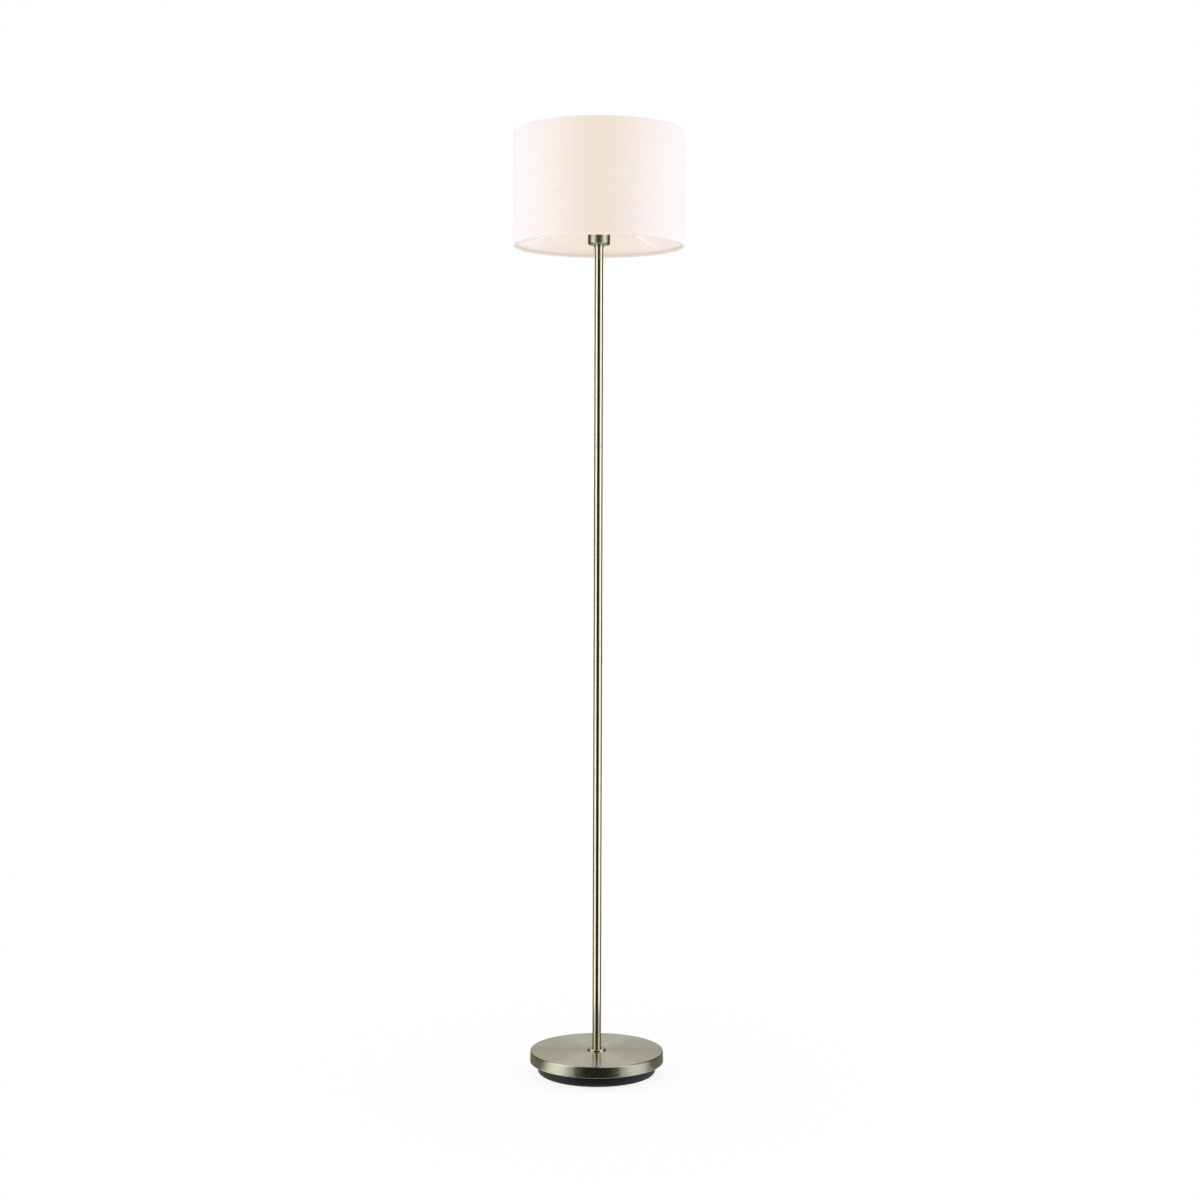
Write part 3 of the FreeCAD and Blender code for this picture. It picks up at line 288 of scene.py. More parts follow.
mirror_card("left_flag", (-162, -94), 3.6, (0.0, 4.0), FLAG_TONES, 1.0, NEAR_CARDS_END)
mirror_card("right_flag", (94, 162), 3.6, (0.0, 4.0), FLAG_TONES, 1.0, NEAR_CARDS_END)
mirror_card("left_near_flag", (-165, -77), NEAR_CARDS_END, (0.0,), NEAR_FLAG_TONES, 1.0, CARD_FROM_LAMP)
mirror_card("right_near_flag", (77, 165), NEAR_CARDS_END, (0.0,), NEAR_FLAG_TONES, 1.0, CARD_FROM_LAMP)
mirror_card("low_backdrop", (162, 198), 3.0, (0.35, 1.0), BACKDROP_TONES)
CARD_KINDS = ("screen", "curtain", "flag", "backdrop")
cards = [item.name for item in scene.objects if item.name.rsplit("_", 1)[-1] in CARD_KINDS]
print("cards:", cards)

# %% [markdown]
# ## Antique bronze
# The visible metal is steel, plated and lacquered to a pale antique bronze. The base cover and
# the cup were brushed while they spun, so their scratches run round the axis and the shine is
# drawn out across them: that is anisotropy, its radial tangent turned by a quarter. One noise on
# distance from the axis plus height draws rings on the plate and hoops on the rim. Real
# scratches are about 0.1 mm apart, too fine for the picture, so they are drawn 1.6 mm apart. The
# column and its rings are polished smoother, so on them the same noise is only a slow change of
# tone, over 14 mm and 6 mm.

# %% Turned and brushed bronze
CLOUD_MM = 40.0
LINES_SHARE = 0.7
BRUSHED_MM = 1.6


def turned_bronze(name, tones, roughness, anisotropy, spacing_mm, depth_mm):
    """Bronze-plated steel finished on the lathe, between two tones."""
    material, tree = new_material(name)
    place = add_node(tree, "ShaderNodeTexCoord")
    flat = add_node(tree, "ShaderNodeVectorMath", {"operation": "MULTIPLY", 1: (1, 1, 0)},
                    {0: place.outputs["Object"]})
    radius = add_node(tree, "ShaderNodeVectorMath", {"operation": "LENGTH"}, {0: flat.outputs[0]})
    parts = add_node(tree, "ShaderNodeSeparateXYZ", links={0: place.outputs["Object"]})
    along = add_node(tree, "ShaderNodeMath", {"operation": "ADD"},
                     {0: radius.outputs["Value"], 1: parts.outputs["Z"]})
    lines = add_node(tree, "ShaderNodeTexNoise",
                     {"noise_dimensions": "1D", "Scale": 1 / (spacing_mm * MM), "Detail": 2.0},
                     {"W": along.outputs[0]})
    cloudy = add_node(tree, "ShaderNodeTexNoise", {"Scale": 1 / (CLOUD_MM * MM), "Detail": 2.0},
                      {"Vector": place.outputs["Object"]})
    blend = add_node(tree, "ShaderNodeMath", {"operation": "MULTIPLY_ADD", 1: LINES_SHARE},
                     {0: lines.outputs["Fac"]})
    share = add_node(tree, "ShaderNodeMath", {"operation": "MULTIPLY", 1: 1 - LINES_SHARE},
                     {0: cloudy.outputs["Fac"]})
    tree.links.new(share.outputs[0], blend.inputs[2])
    ramp = add_node(tree, "ShaderNodeValToRGB", None, {"Fac": blend.outputs[0]})
    ramp.color_ramp.elements[0].position = 0.3
    ramp.color_ramp.elements[0].color = linear(tones[0])
    ramp.color_ramp.elements[1].position = 0.7
    ramp.color_ramp.elements[1].color = linear(tones[1])
    rough = add_node(tree, "ShaderNodeMapRange", {"To Min": roughness[0], "To Max": roughness[1]},
                     {"Value": blend.outputs[0]})
    bump = add_node(tree, "ShaderNodeBump", {"Strength": 0.5, "Distance": depth_mm * MM},
                    {"Height": lines.outputs["Fac"]})
    tangent = add_node(tree, "ShaderNodeTangent", {"direction_type": "RADIAL", "axis": "Z"})
    shader = add_node(tree, "ShaderNodeBsdfPrincipled",
                      {"Metallic": 1.0, "Anisotropic": anisotropy, "Anisotropic Rotation": 0.25},
                      {"Base Color": ramp.outputs[0], "Roughness": rough.outputs[0],
                       "Normal": bump.outputs[0], "Tangent": tangent.outputs[0]})
    finish_with(tree, shader)
    return material


paint(turned_bronze("brushed_antique_bronze", ("#AAA796", "#BBB8A7"), (0.22, 0.28), 0.94,
                    BRUSHED_MM, 0.002), "base_cover")
paint(turned_bronze("brushed_cup_bronze", ("#A29E8A", "#ACA893"), (0.34, 0.40), 0.3,
                    BRUSHED_MM, 0.002), "socket_cup")
paint(turned_bronze("satin_column_bronze", ("#B5B19A", "#BDB9A2"), (0.13, 0.17), 0.2, 14.0, 0.0005),
      "lower_tube", "lower_middle_tube", "upper_middle_tube", "top_tube")
paint(turned_bronze("polished_ring_bronze", ("#B2AD96", "#BAB59E"), (0.06, 0.10), 0.2, 6.0, 0.001),
      "column_collar", "neck_ring")

# %% [markdown]
# ## Plastic, rubber, ceramic and enamel
# These are moulded, cast or dipped. Each has a fine grain that breaks the shine, and a slow,
# faint change of tone that stops it looking like one flat colour. One function makes them all
# from two tones, a roughness and a grain size in millimetres. Inside the real shade, the white
# enamel of the wires is lit by what the cloth lets through; a weak glow stands in for that.

# %% Moulded and coated pieces
SLOW_TONE_MM = 25.0
ENAMEL_GLOW = 0.1


def moulded(name, tones, roughness, grain_mm, depth_mm, **sockets):
    """A moulded, cast or coated surface; sockets are more Principled sockets, _ for a space."""
    material, tree = new_material(name)
    place = add_node(tree, "ShaderNodeTexCoord")
    slow = add_node(tree, "ShaderNodeTexNoise", {"Scale": 1 / (SLOW_TONE_MM * MM), "Detail": 3.0},
                    {"Vector": place.outputs["Object"]})
    grain = add_node(tree, "ShaderNodeTexNoise", {"Scale": 1 / (grain_mm * MM), "Detail": 2.0},
                     {"Vector": place.outputs["Object"]})
    ramp = add_node(tree, "ShaderNodeValToRGB", None, {"Fac": slow.outputs["Fac"]})
    ramp.color_ramp.elements[0].position = 0.35
    ramp.color_ramp.elements[0].color = linear(tones[0])
    ramp.color_ramp.elements[1].position = 0.65
    ramp.color_ramp.elements[1].color = linear(tones[1])
    rough = add_node(tree, "ShaderNodeMapRange",
                     {"To Min": roughness - 0.05, "To Max": roughness + 0.05},
                     {"Value": grain.outputs["Fac"]})
    bump = add_node(tree, "ShaderNodeBump", {"Strength": 0.4, "Distance": depth_mm * MM},
                    {"Height": grain.outputs["Fac"]})
    extra = {key.replace("_", " "): value for key, value in sockets.items()}
    shader = add_node(tree, "ShaderNodeBsdfPrincipled", extra,
                      {"Base Color": ramp.outputs[0], "Roughness": rough.outputs[0],
                       "Normal": bump.outputs[0]})
    finish_with(tree, shader)
    return material


paint(moulded("spark_textured_black_tray", ("#0B0C0D", "#101112"), 0.45, 0.6, 0.01,
              Specular_IOR_Level=0.3), "base_tray")
paint(moulded("closed_cell_foam", ("#1A1A1A", "#242424"), 0.95, 1.2, 0.2), "foot_pad")
paint(moulded("dipped_cast_iron", ("#303032", "#3E3E40"), 0.7, 2.0, 0.15), "base_weight")
paint(moulded("moulded_rubber", ("#121212", "#1A1A1A"), 0.65, 0.8, 0.03), "cord_grommet")
paint(moulded("white_nylon", ("#DCDAD4", "#E6E4DE"), 0.5, 0.6, 0.02), "terminal_block")
white_holder = moulded("white_holder_plastic", ("#E6E3DC", "#ECE9E3"), 0.35, 0.8, 0.015)
paint(white_holder, "holder_cap", "holder_skirt", "shade_ring_nut")
paint(moulded("pressed_ceramic", ("#DCD8CC", "#E8E4DA"), 0.7, 0.5, 0.04), "holder_insert")
paint(moulded("blue_insulation", ("#234074", "#2B4B86"), 0.5, 0.6, 0.02), "neutral_wire")
paint(moulded("brown_insulation", ("#442815", "#50301B"), 0.5, 0.6, 0.02), "live_wire")
enamel = moulded("white_wire_enamel", ("#FBF8F4", "#FDFBF8"), 0.5, 1.5, 0.02,
                 Specular_IOR_Level=0.2, Emission_Color=linear("#FFF6EC"),
                 Emission_Strength=ENAMEL_GLOW)
paint(enamel, "shade_top_wire", "shade_bottom_wire", "shade_spider")
paint(moulded("black_cap_glass", ("#0E0E12", "#15151A"), 0.15, 1.0, 0.01), "bulb_insulator")
paint(moulded("white_bulb_housing", ("#E8E8E5", "#EFEFEC"), 0.4, 0.7, 0.015), "bulb_housing")
paint(moulded("white_board_mask", ("#E2E2DC", "#EBEBE5"), 0.5, 0.5, 0.01), "light_board")
paint(moulded("opal_bulb_globe", ("#F2EFE8", "#F7F4EE"), 0.35, 1.0, 0.01), "bulb_globe")

# %% [markdown]
# ## Zinc, brass and nickel
# The hidden fasteners are zinc-plated steel, with the faint grey-blue spangle of the plating.
# The electrical parts are stamped brass, with fine drawing lines, and the bulb's cap is rolled
# from nickelled brass.

# %% Plated and stamped metal
def plated(name, tones, roughness, spangle_mm, depth_mm):
    """Small plated or stamped metal parts."""
    material, tree = new_material(name)
    place = add_node(tree, "ShaderNodeTexCoord")
    spangle = add_node(tree, "ShaderNodeTexVoronoi", {"Scale": 1 / (spangle_mm * MM)},
                       {"Vector": place.outputs["Object"]})
    ramp = add_node(tree, "ShaderNodeValToRGB", None, {"Fac": spangle.outputs["Distance"]})
    ramp.color_ramp.elements[0].color = linear(tones[0])
    ramp.color_ramp.elements[1].color = linear(tones[1])
    rough = add_node(tree, "ShaderNodeMapRange",
                     {"To Min": roughness - 0.06, "To Max": roughness + 0.06},
                     {"Value": spangle.outputs["Distance"]})
    bump = add_node(tree, "ShaderNodeBump", {"Strength": 0.3, "Distance": depth_mm * MM},
                    {"Height": spangle.outputs["Distance"]})
    shader = add_node(tree, "ShaderNodeBsdfPrincipled", {"Metallic": 1.0},
                      {"Base Color": ramp.outputs[0], "Roughness": rough.outputs[0],
                       "Normal": bump.outputs[0]})
    finish_with(tree, shader)
    return material


zinc_steel = plated("zinc_plated_steel", ("#A9ABAC", "#BFC0BE"), 0.38, 1.5, 0.01)
zinc_pieces = [name for name in nodes if name.endswith("_bush") or name.endswith("_stud")]
zinc_pieces += ["base_washer", "base_spring_washer", "base_nut", "tray_screws", "terminal_screws"]
paint(zinc_steel, *zinc_pieces)
paint(plated("stamped_brass", ("#C9A95C", "#DCC078"), 0.32, 0.8, 0.008),
      "terminal_clamps", "screw_shell", "centre_contact", "holder_terminals")
rolled_nickel = plated("rolled_nickel", ("#B4B3AE", "#C8C7C2"), 0.3, 0.6, 0.006)
paint(rolled_nickel, "bulb_screw_cap", "bulb_contact")

# %% [markdown]
# ## Shade cloth
# The cloth is a white satin weave, laminated to a stiff sheet. Satin is shiny along its long
# floats, and its weave is only about 0.2 mm, so the picture shows no threads but a soft sheen and
# a few faint creases that run round the drum. The pattern lies on the cloth's own UV map, which
# is the flat sheet in metres, so it follows the cloth over the rolled edges. The threads are
# drawn at 0.7 mm, three times their size, so that they show in a close view. Light that the cloth
# lets through is not traced; a weak glow of the liner behind it stands in for that light.

# %% Satin cloth material
CLOTH_THREAD_MM = 0.7
CREASE_MM = 14.0
CREASE_STRETCH = 0.12
HEM_FADE = (0.0085, 0.0055)
LINER_GLOW = 0.06


def satin_cloth(flat_height):
    """Laminated satin; its UV map holds the flat sheet, in metres."""
    material, tree = new_material("laminated_white_satin")
    sheet = add_node(tree, "ShaderNodeUVMap", {"uv_map": "flat_sheet"})
    parts = add_node(tree, "ShaderNodeSeparateXYZ", links={0: sheet.outputs[0]})
    threads = []
    for axis in ("X", "Y"):
        turns = add_node(tree, "ShaderNodeMath",
                         {"operation": "MULTIPLY", 1: 2 * math.pi / (CLOTH_THREAD_MM * MM)},
                         {0: parts.outputs[axis]})
        threads.append(add_node(tree, "ShaderNodeMath", {"operation": "SINE"}, {0: turns.outputs[0]}))
    weave = add_node(tree, "ShaderNodeMath", {"operation": "ADD"},
                     {0: threads[0].outputs[0], 1: threads[1].outputs[0]})
    stretched = add_node(tree, "ShaderNodeMapping", {"Scale": (CREASE_STRETCH, 1.0, 1.0)},
                         {"Vector": sheet.outputs[0]})
    creases = add_node(tree, "ShaderNodeTexNoise",
                       {"Scale": 1 / (CREASE_MM * MM), "Detail": 3.0, "Roughness": 0.6},
                       {"Vector": stretched.outputs[0]})
    # Painted shade: the noise that bumps the creases also darkens the cloth a little along them.
    tone = add_node(tree, "ShaderNodeValToRGB", None, {"Fac": creases.outputs["Fac"]})
    tone.color_ramp.elements[0].position = 0.35
    tone.color_ramp.elements[0].color = linear("#F2ECE8")
    tone.color_ramp.elements[1].position = 0.65
    tone.color_ramp.elements[1].color = linear("#F4EEEA")
    # Painted shade: the rolled edges are mixed towards a darker cream, #EEE0D1, for the shade that falls
    # round the roll.
    middle = add_node(tree, "ShaderNodeMath", {"operation": "SUBTRACT", 1: flat_height / 2},
                      {0: parts.outputs["Y"]})
    from_middle = add_node(tree, "ShaderNodeMath", {"operation": "ABSOLUTE"}, {0: middle.outputs[0]})
    painted_roll_shade = add_node(tree, "ShaderNodeMapRange",
                       {"From Min": flat_height / 2 - HEM_FADE[0],
                        "From Max": flat_height / 2 - HEM_FADE[1], "To Max": 1.0},
                       {"Value": from_middle.outputs[0]})
    colour = add_node(tree, "ShaderNodeMix", {"data_type": "RGBA", 7: linear("#EEE0D1")},
                      {0: painted_roll_shade.outputs[0], 6: tone.outputs[0]})
    fine = add_node(tree, "ShaderNodeBump", {"Strength": 0.25, "Distance": 0.03 * MM},
                    {"Height": weave.outputs[0]})
    bump = add_node(tree, "ShaderNodeBump", {"Strength": 0.3, "Distance": 0.06 * MM},
                    {"Height": creases.outputs["Fac"], "Normal": fine.outputs[0]})
    shader = add_node(tree, "ShaderNodeBsdfPrincipled",
                      {"Roughness": 0.6, "Specular IOR Level": 0.15},
                      {"Base Color": colour.outputs[2], "Normal": bump.outputs[0]})
    finish_with(tree, shader)
    return material


backing = moulded("shade_backing_sheet", ("#F7F1EC", "#FAF5F0"), 0.6, 2.0, 0.01,
                  Specular_IOR_Level=0.15, Emission_Color=linear("#FFF0E4"),
                  Emission_Strength=LINER_GLOW)
paint(backing, "shade_liner")

# %% [markdown]
# ## Shade cloth, rolled by Geometry Nodes
# The real cloth is cut flat, glued round the drum with a lap at the back, and rolled round the
# wire rings at both edges. It could be a turned solid, but then it would have no lap and no
# threads that follow it. Here a flat sheet is made at the real cut size, and Geometry Nodes roll
# it: the height of a point on the sheet is a distance along a profile curve, which goes up the
# inner tuck, round the lower wire, up the wall and round the upper wire, and the length of the
# sheet becomes an angle.

# %% Profile and flat sheet
cloth_low, cloth_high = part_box("shade_fabric")
CLOTH_THICK = 0.6 * MM
WIRE_RADIUS = 1.5 * MM
WIRE_GAP = 0.3 * MM
LINER_THICK = 0.5 * MM
TUCK = 2.0 * MM
LAP = 9.0 * MM
roll_radius = WIRE_RADIUS + WIRE_GAP + LINER_THICK + CLOTH_THICK / 2
wall_radius = cloth_high[0] - CLOTH_THICK / 2
wire_circle = wall_radius - roll_radius
low_centre = cloth_low[2] + roll_radius + CLOTH_THICK / 2
high_centre = cloth_high[2] - roll_radius - CLOTH_THICK / 2
ROLL_STEPS = 12
WALL_STEPS = 36
profile = [(wire_circle - roll_radius, low_centre + TUCK)]
profile += [(wire_circle - roll_radius * math.cos(math.pi * i / ROLL_STEPS),
             low_centre - roll_radius * math.sin(math.pi * i / ROLL_STEPS))
            for i in range(ROLL_STEPS + 1)]
profile += [(wall_radius, low_centre + (high_centre - low_centre) * i / WALL_STEPS)
            for i in range(1, WALL_STEPS)]
profile += [(wire_circle + roll_radius * math.cos(math.pi * i / ROLL_STEPS),
             high_centre + roll_radius * math.sin(math.pi * i / ROLL_STEPS))
            for i in range(ROLL_STEPS + 1)]
profile.append((wire_circle - roll_radius, high_centre - TUCK))
heights = [0.0]
for (x0, z0), (x1, z1) in zip(profile, profile[1:]):
    heights.append(heights[-1] + math.hypot(x1 - x0, z1 - z0))
sheet_height = heights[-1]
sheet_length = 2 * math.pi * wall_radius + LAP
SHEET_COLUMNS = 300

profile_mesh = bpy.data.meshes.new("drum_profile")
profile_mesh.from_pydata([(x, 0, z) for x, z in profile],
                         [(i, i + 1) for i in range(len(profile) - 1)], [])
profile_line = bpy.data.objects.new("drum_profile", profile_mesh)
scene.collection.objects.link(profile_line)

flat_mesh = bpy.data.meshes.new("flat_sheet")
verts = [(sheet_length * c / SHEET_COLUMNS, 0, height)
         for c in range(SHEET_COLUMNS + 1) for height in heights]
rows = len(heights)
faces = [(c * rows + r, (c + 1) * rows + r, (c + 1) * rows + r + 1, c * rows + r + 1)
         for c in range(SHEET_COLUMNS) for r in range(rows - 1)]
flat_mesh.from_pydata(verts, [], faces)
flat_map = flat_mesh.uv_layers.new(name="flat_sheet")
for loop in flat_mesh.loops:
    spot = flat_mesh.vertices[loop.vertex_index].co
    flat_map.data[loop.index].uv = (spot.x, spot.z)
cloth = bpy.data.objects.new("shade_cloth", flat_mesh)
scene.collection.objects.link(cloth)
print("flat sheet", round(sheet_length, 4), "x", round(sheet_height, 4), "m,", len(faces), "faces")

# %% [markdown]
# The tree below has named inputs for the sizes. A modifier's inputs are set by each socket's
# identifier, so one helper looks those up, and another turns the finished result into a plain
# mesh, because an export can't carry the nodes.

# %% Helpers for Geometry Nodes
def new_tree(name, inputs):
    """A geometry node tree with a geometry in and out, and named inputs (name, type)."""
    tree = bpy.data.node_groups.new(name, "GeometryNodeTree")
    tree.interface.new_socket("Geometry", in_out="OUTPUT", socket_type="NodeSocketGeometry")
    tree.interface.new_socket("Geometry", in_out="INPUT", socket_type="NodeSocketGeometry")
    for label, kind in inputs:
        tree.interface.new_socket(label, in_out="INPUT", socket_type="NodeSocket" + kind)
    return tree, add_node(tree, "NodeGroupInput").outputs


def close_tree(tree, geometry, material):
    """Realizes instances, sets the material and closes the tree."""
    real = add_node(tree, "GeometryNodeRealizeInstances", None, {0: geometry})
    dressed = add_node(tree, "GeometryNodeSetMaterial", None,
                       {"Geometry": real.outputs[0], "Material": material})
    add_node(tree, "NodeGroupOutput", links={0: dressed.outputs[0]})


def grow(piece, tree, values):
    """Adds the tree to a piece and sets its inputs by their identifiers."""
    modifier = piece.modifiers.new(tree.name, "NODES")
    modifier.node_group = tree
    for item in tree.interface.items_tree:
        if item.item_type == "SOCKET" and item.in_out == "INPUT" and item.name in values:
            modifier[item.identifier] = values[item.name]
    return modifier


def make_plain(piece):
    """Turns a piece with its modifiers into a plain mesh."""
    bpy.context.view_layer.update()
    evaluated = piece.evaluated_get(bpy.context.evaluated_depsgraph_get())
    mesh = bpy.data.meshes.new_from_object(evaluated)
    mesh.name = piece.name
    piece.modifiers.clear()
    piece.data = mesh
    print(piece.name, len(mesh.vertices), "points,", len(mesh.polygons), "faces")
    return piece


# %% Roll the cloth
SEAM_TURN = math.pi / 2 - 0.03
LAP_RISE = 6.0 * MM
roll_tree, given = new_tree("roll_round_drum", [
    ("Profile", "Object"), ("Wall radius", "Float"), ("Sheet length", "Float"),
    ("Lap", "Float"), ("Cloth thickness", "Float"), ("Cloth", "Material")])
place = add_node(roll_tree, "GeometryNodeInputPosition")
flat_xyz = add_node(roll_tree, "ShaderNodeSeparateXYZ", links={0: place.outputs[0]})
carrier = add_node(roll_tree, "GeometryNodeObjectInfo", None, {"Object": given["Profile"]})
line = add_node(roll_tree, "GeometryNodeMeshToCurve", None, {0: carrier.outputs["Geometry"]})
sample = add_node(roll_tree, "GeometryNodeSampleCurve", {"mode": "LENGTH"},
                  {"Curves": line.outputs[0], "Length": flat_xyz.outputs["Z"]})
on_profile = add_node(roll_tree, "ShaderNodeSeparateXYZ", links={0: sample.outputs["Position"]})
angle = add_node(roll_tree, "ShaderNodeMath", {"operation": "DIVIDE"},
                 {0: flat_xyz.outputs["X"], 1: given["Wall radius"]})
turned_back = add_node(roll_tree, "ShaderNodeMath", {"operation": "ADD", 1: SEAM_TURN},
                       {0: angle.outputs[0]})
lap_start = add_node(roll_tree, "ShaderNodeMath", {"operation": "SUBTRACT"},
                     {0: given["Sheet length"], 1: given["Lap"]})
lap_before = add_node(roll_tree, "ShaderNodeMath", {"operation": "SUBTRACT", 1: LAP_RISE},
                      {0: lap_start.outputs[0]})
lift = add_node(roll_tree, "ShaderNodeMapRange", {"interpolation_type": "SMOOTHSTEP"},
                {"Value": flat_xyz.outputs["X"], "From Min": lap_before.outputs[0],
                 "From Max": lap_start.outputs[0], "To Max": given["Cloth thickness"]})
lifted = add_node(roll_tree, "ShaderNodeMath", {"operation": "ADD"},
                  {0: on_profile.outputs["X"], 1: lift.outputs[0]})
cosine = add_node(roll_tree, "ShaderNodeMath", {"operation": "COSINE"}, {0: turned_back.outputs[0]})
sine = add_node(roll_tree, "ShaderNodeMath", {"operation": "SINE"}, {0: turned_back.outputs[0]})
east = add_node(roll_tree, "ShaderNodeMath", {"operation": "MULTIPLY"},
                {0: lifted.outputs[0], 1: cosine.outputs[0]})
north = add_node(roll_tree, "ShaderNodeMath", {"operation": "MULTIPLY"},
                 {0: lifted.outputs[0], 1: sine.outputs[0]})
rolled = add_node(roll_tree, "ShaderNodeCombineXYZ",
                  links={0: east.outputs[0], 1: north.outputs[0], 2: on_profile.outputs["Z"]})
moved = add_node(roll_tree, "GeometryNodeSetPosition", None,
                 {"Geometry": given["Geometry"], "Position": rolled.outputs[0]})
smooth = add_node(roll_tree, "GeometryNodeSetShadeSmooth", None, {0: moved.outputs[0]})
close_tree(roll_tree, smooth.outputs[0], given["Cloth"])

satin = satin_cloth(sheet_height)
grow(cloth, roll_tree,
     {"Profile": profile_line, "Wall radius": wall_radius, "Sheet length": sheet_length,
      "Lap": LAP, "Cloth thickness": CLOTH_THICK, "Cloth": satin})
wall = cloth.modifiers.new("thickness", "SOLIDIFY")
wall.thickness = CLOTH_THICK
wall.offset = 0.0
make_plain(cloth)
bpy.data.objects.remove(profile_line)
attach(cloth, "shade")
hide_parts("shade_fabric")

# %% [markdown]
# ## Screw threads
# A bulb's cap is thin metal, rolled to a round thread of 3.62 mm pitch. The surface follows one
# rule: its radius goes in and out with the height, and one turn round it shifts that wave by
# one pitch. Geometry Nodes place a grid by that rule. The lampholder's skirt has a moulded
# thread, a low round rib, which is a spiral curve with a small circle swept along it.

# %% Rolled cap of the bulb
CAP_COLUMNS = 97
CAP_ROWS = 72
CAP_THREAD_DEPTH = 1.0 * MM
CAP_THREAD_PITCH = 3.62 * MM
CAP_SHEET = 0.35 * MM
cap_tree, given = new_tree("rolled_thread", [
    ("Radius", "Float"), ("Depth", "Float"), ("Pitch", "Float"), ("Foot", "Float"),
    ("Height", "Float"), ("Metal", "Material")])
grid = add_node(cap_tree, "GeometryNodeMeshGrid",
                {"Size X": 1.0, "Size Y": 1.0, "Vertices X": CAP_COLUMNS, "Vertices Y": CAP_ROWS})
place = add_node(cap_tree, "GeometryNodeInputPosition")
xyz = add_node(cap_tree, "ShaderNodeSeparateXYZ", links={0: place.outputs[0]})
angle = add_node(cap_tree, "ShaderNodeMath", {"operation": "MULTIPLY", 1: 2 * math.pi},
                 {0: xyz.outputs["X"]})
share = add_node(cap_tree, "ShaderNodeMath", {"operation": "ADD", 1: 0.5}, {0: xyz.outputs["Y"]})
rise = add_node(cap_tree, "ShaderNodeMath", {"operation": "MULTIPLY"},
                {0: share.outputs[0], 1: given["Height"]})
turns = add_node(cap_tree, "ShaderNodeMath", {"operation": "DIVIDE"},
                 {0: rise.outputs[0], 1: given["Pitch"]})
phase = add_node(cap_tree, "ShaderNodeMath", {"operation": "MULTIPLY_ADD", 1: 2 * math.pi},
                 {0: turns.outputs[0]})
back = add_node(cap_tree, "ShaderNodeMath", {"operation": "MULTIPLY", 1: -1.0}, {0: angle.outputs[0]})
cap_tree.links.new(back.outputs[0], phase.inputs[2])
wave = add_node(cap_tree, "ShaderNodeMath", {"operation": "COSINE"}, {0: phase.outputs[0]})
dip = add_node(cap_tree, "ShaderNodeMapRange",
               {"From Min": -1.0, "From Max": 1.0, "To Min": 0.0, "To Max": 1.0},
               {"Value": wave.outputs[0]})
fade_in = add_node(cap_tree, "ShaderNodeMapRange", {"From Min": 0.04, "From Max": 0.12},
                   {"Value": share.outputs[0]})
fade_out = add_node(cap_tree, "ShaderNodeMapRange", {"From Min": 0.96, "From Max": 0.80},
                    {"Value": share.outputs[0]})
threaded = add_node(cap_tree, "ShaderNodeMath", {"operation": "MULTIPLY"},
                    {0: fade_in.outputs[0], 1: fade_out.outputs[0]})
dipped = add_node(cap_tree, "ShaderNodeMath", {"operation": "MULTIPLY"},
                  {0: dip.outputs[0], 1: threaded.outputs[0]})
sunk = add_node(cap_tree, "ShaderNodeMath", {"operation": "MULTIPLY"},
                {0: dipped.outputs[0], 1: given["Depth"]})
radius = add_node(cap_tree, "ShaderNodeMath", {"operation": "SUBTRACT"},
                  {0: given["Radius"], 1: sunk.outputs[0]})
cosine = add_node(cap_tree, "ShaderNodeMath", {"operation": "COSINE"}, {0: angle.outputs[0]})
sine = add_node(cap_tree, "ShaderNodeMath", {"operation": "SINE"}, {0: angle.outputs[0]})
east = add_node(cap_tree, "ShaderNodeMath", {"operation": "MULTIPLY"},
                {0: radius.outputs[0], 1: cosine.outputs[0]})
north = add_node(cap_tree, "ShaderNodeMath", {"operation": "MULTIPLY"},
                 {0: radius.outputs[0], 1: sine.outputs[0]})
up = add_node(cap_tree, "ShaderNodeMath", {"operation": "ADD"}, {0: rise.outputs[0], 1: given["Foot"]})
spot = add_node(cap_tree, "ShaderNodeCombineXYZ",
                links={0: east.outputs[0], 1: north.outputs[0], 2: up.outputs[0]})
moved = add_node(cap_tree, "GeometryNodeSetPosition", None,
                 {"Geometry": grid.outputs["Mesh"], "Position": spot.outputs[0]})
joined = add_node(cap_tree, "GeometryNodeMergeByDistance", {"Distance": 0.001 * MM},
                  {"Geometry": moved.outputs[0]})
smooth = add_node(cap_tree, "GeometryNodeSetShadeSmooth", None, {0: joined.outputs[0]})
close_tree(cap_tree, smooth.outputs[0], given["Metal"])


def thin_thread(name, node_name, depth, pitch, metal, sheet):
    """Replaces a plain sheet-metal cap with one rolled to a thread."""
    low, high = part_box(node_name)
    piece = bpy.data.objects.new(name, bpy.data.meshes.new(name))
    scene.collection.objects.link(piece)
    grow(piece, cap_tree, {"Radius": high[0], "Depth": depth, "Pitch": pitch, "Foot": low[2],
                           "Height": high[2] - low[2], "Metal": metal})
    wall = piece.modifiers.new("sheet", "SOLIDIFY")
    wall.thickness = sheet
    wall.offset = -1.0
    return make_plain(piece)


bulb_cap_thread = thin_thread("bulb_cap_thread", "bulb_screw_cap", CAP_THREAD_DEPTH,
                              CAP_THREAD_PITCH, rolled_nickel, CAP_SHEET)
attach(bulb_cap_thread, "bulb")
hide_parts("bulb_screw_cap")

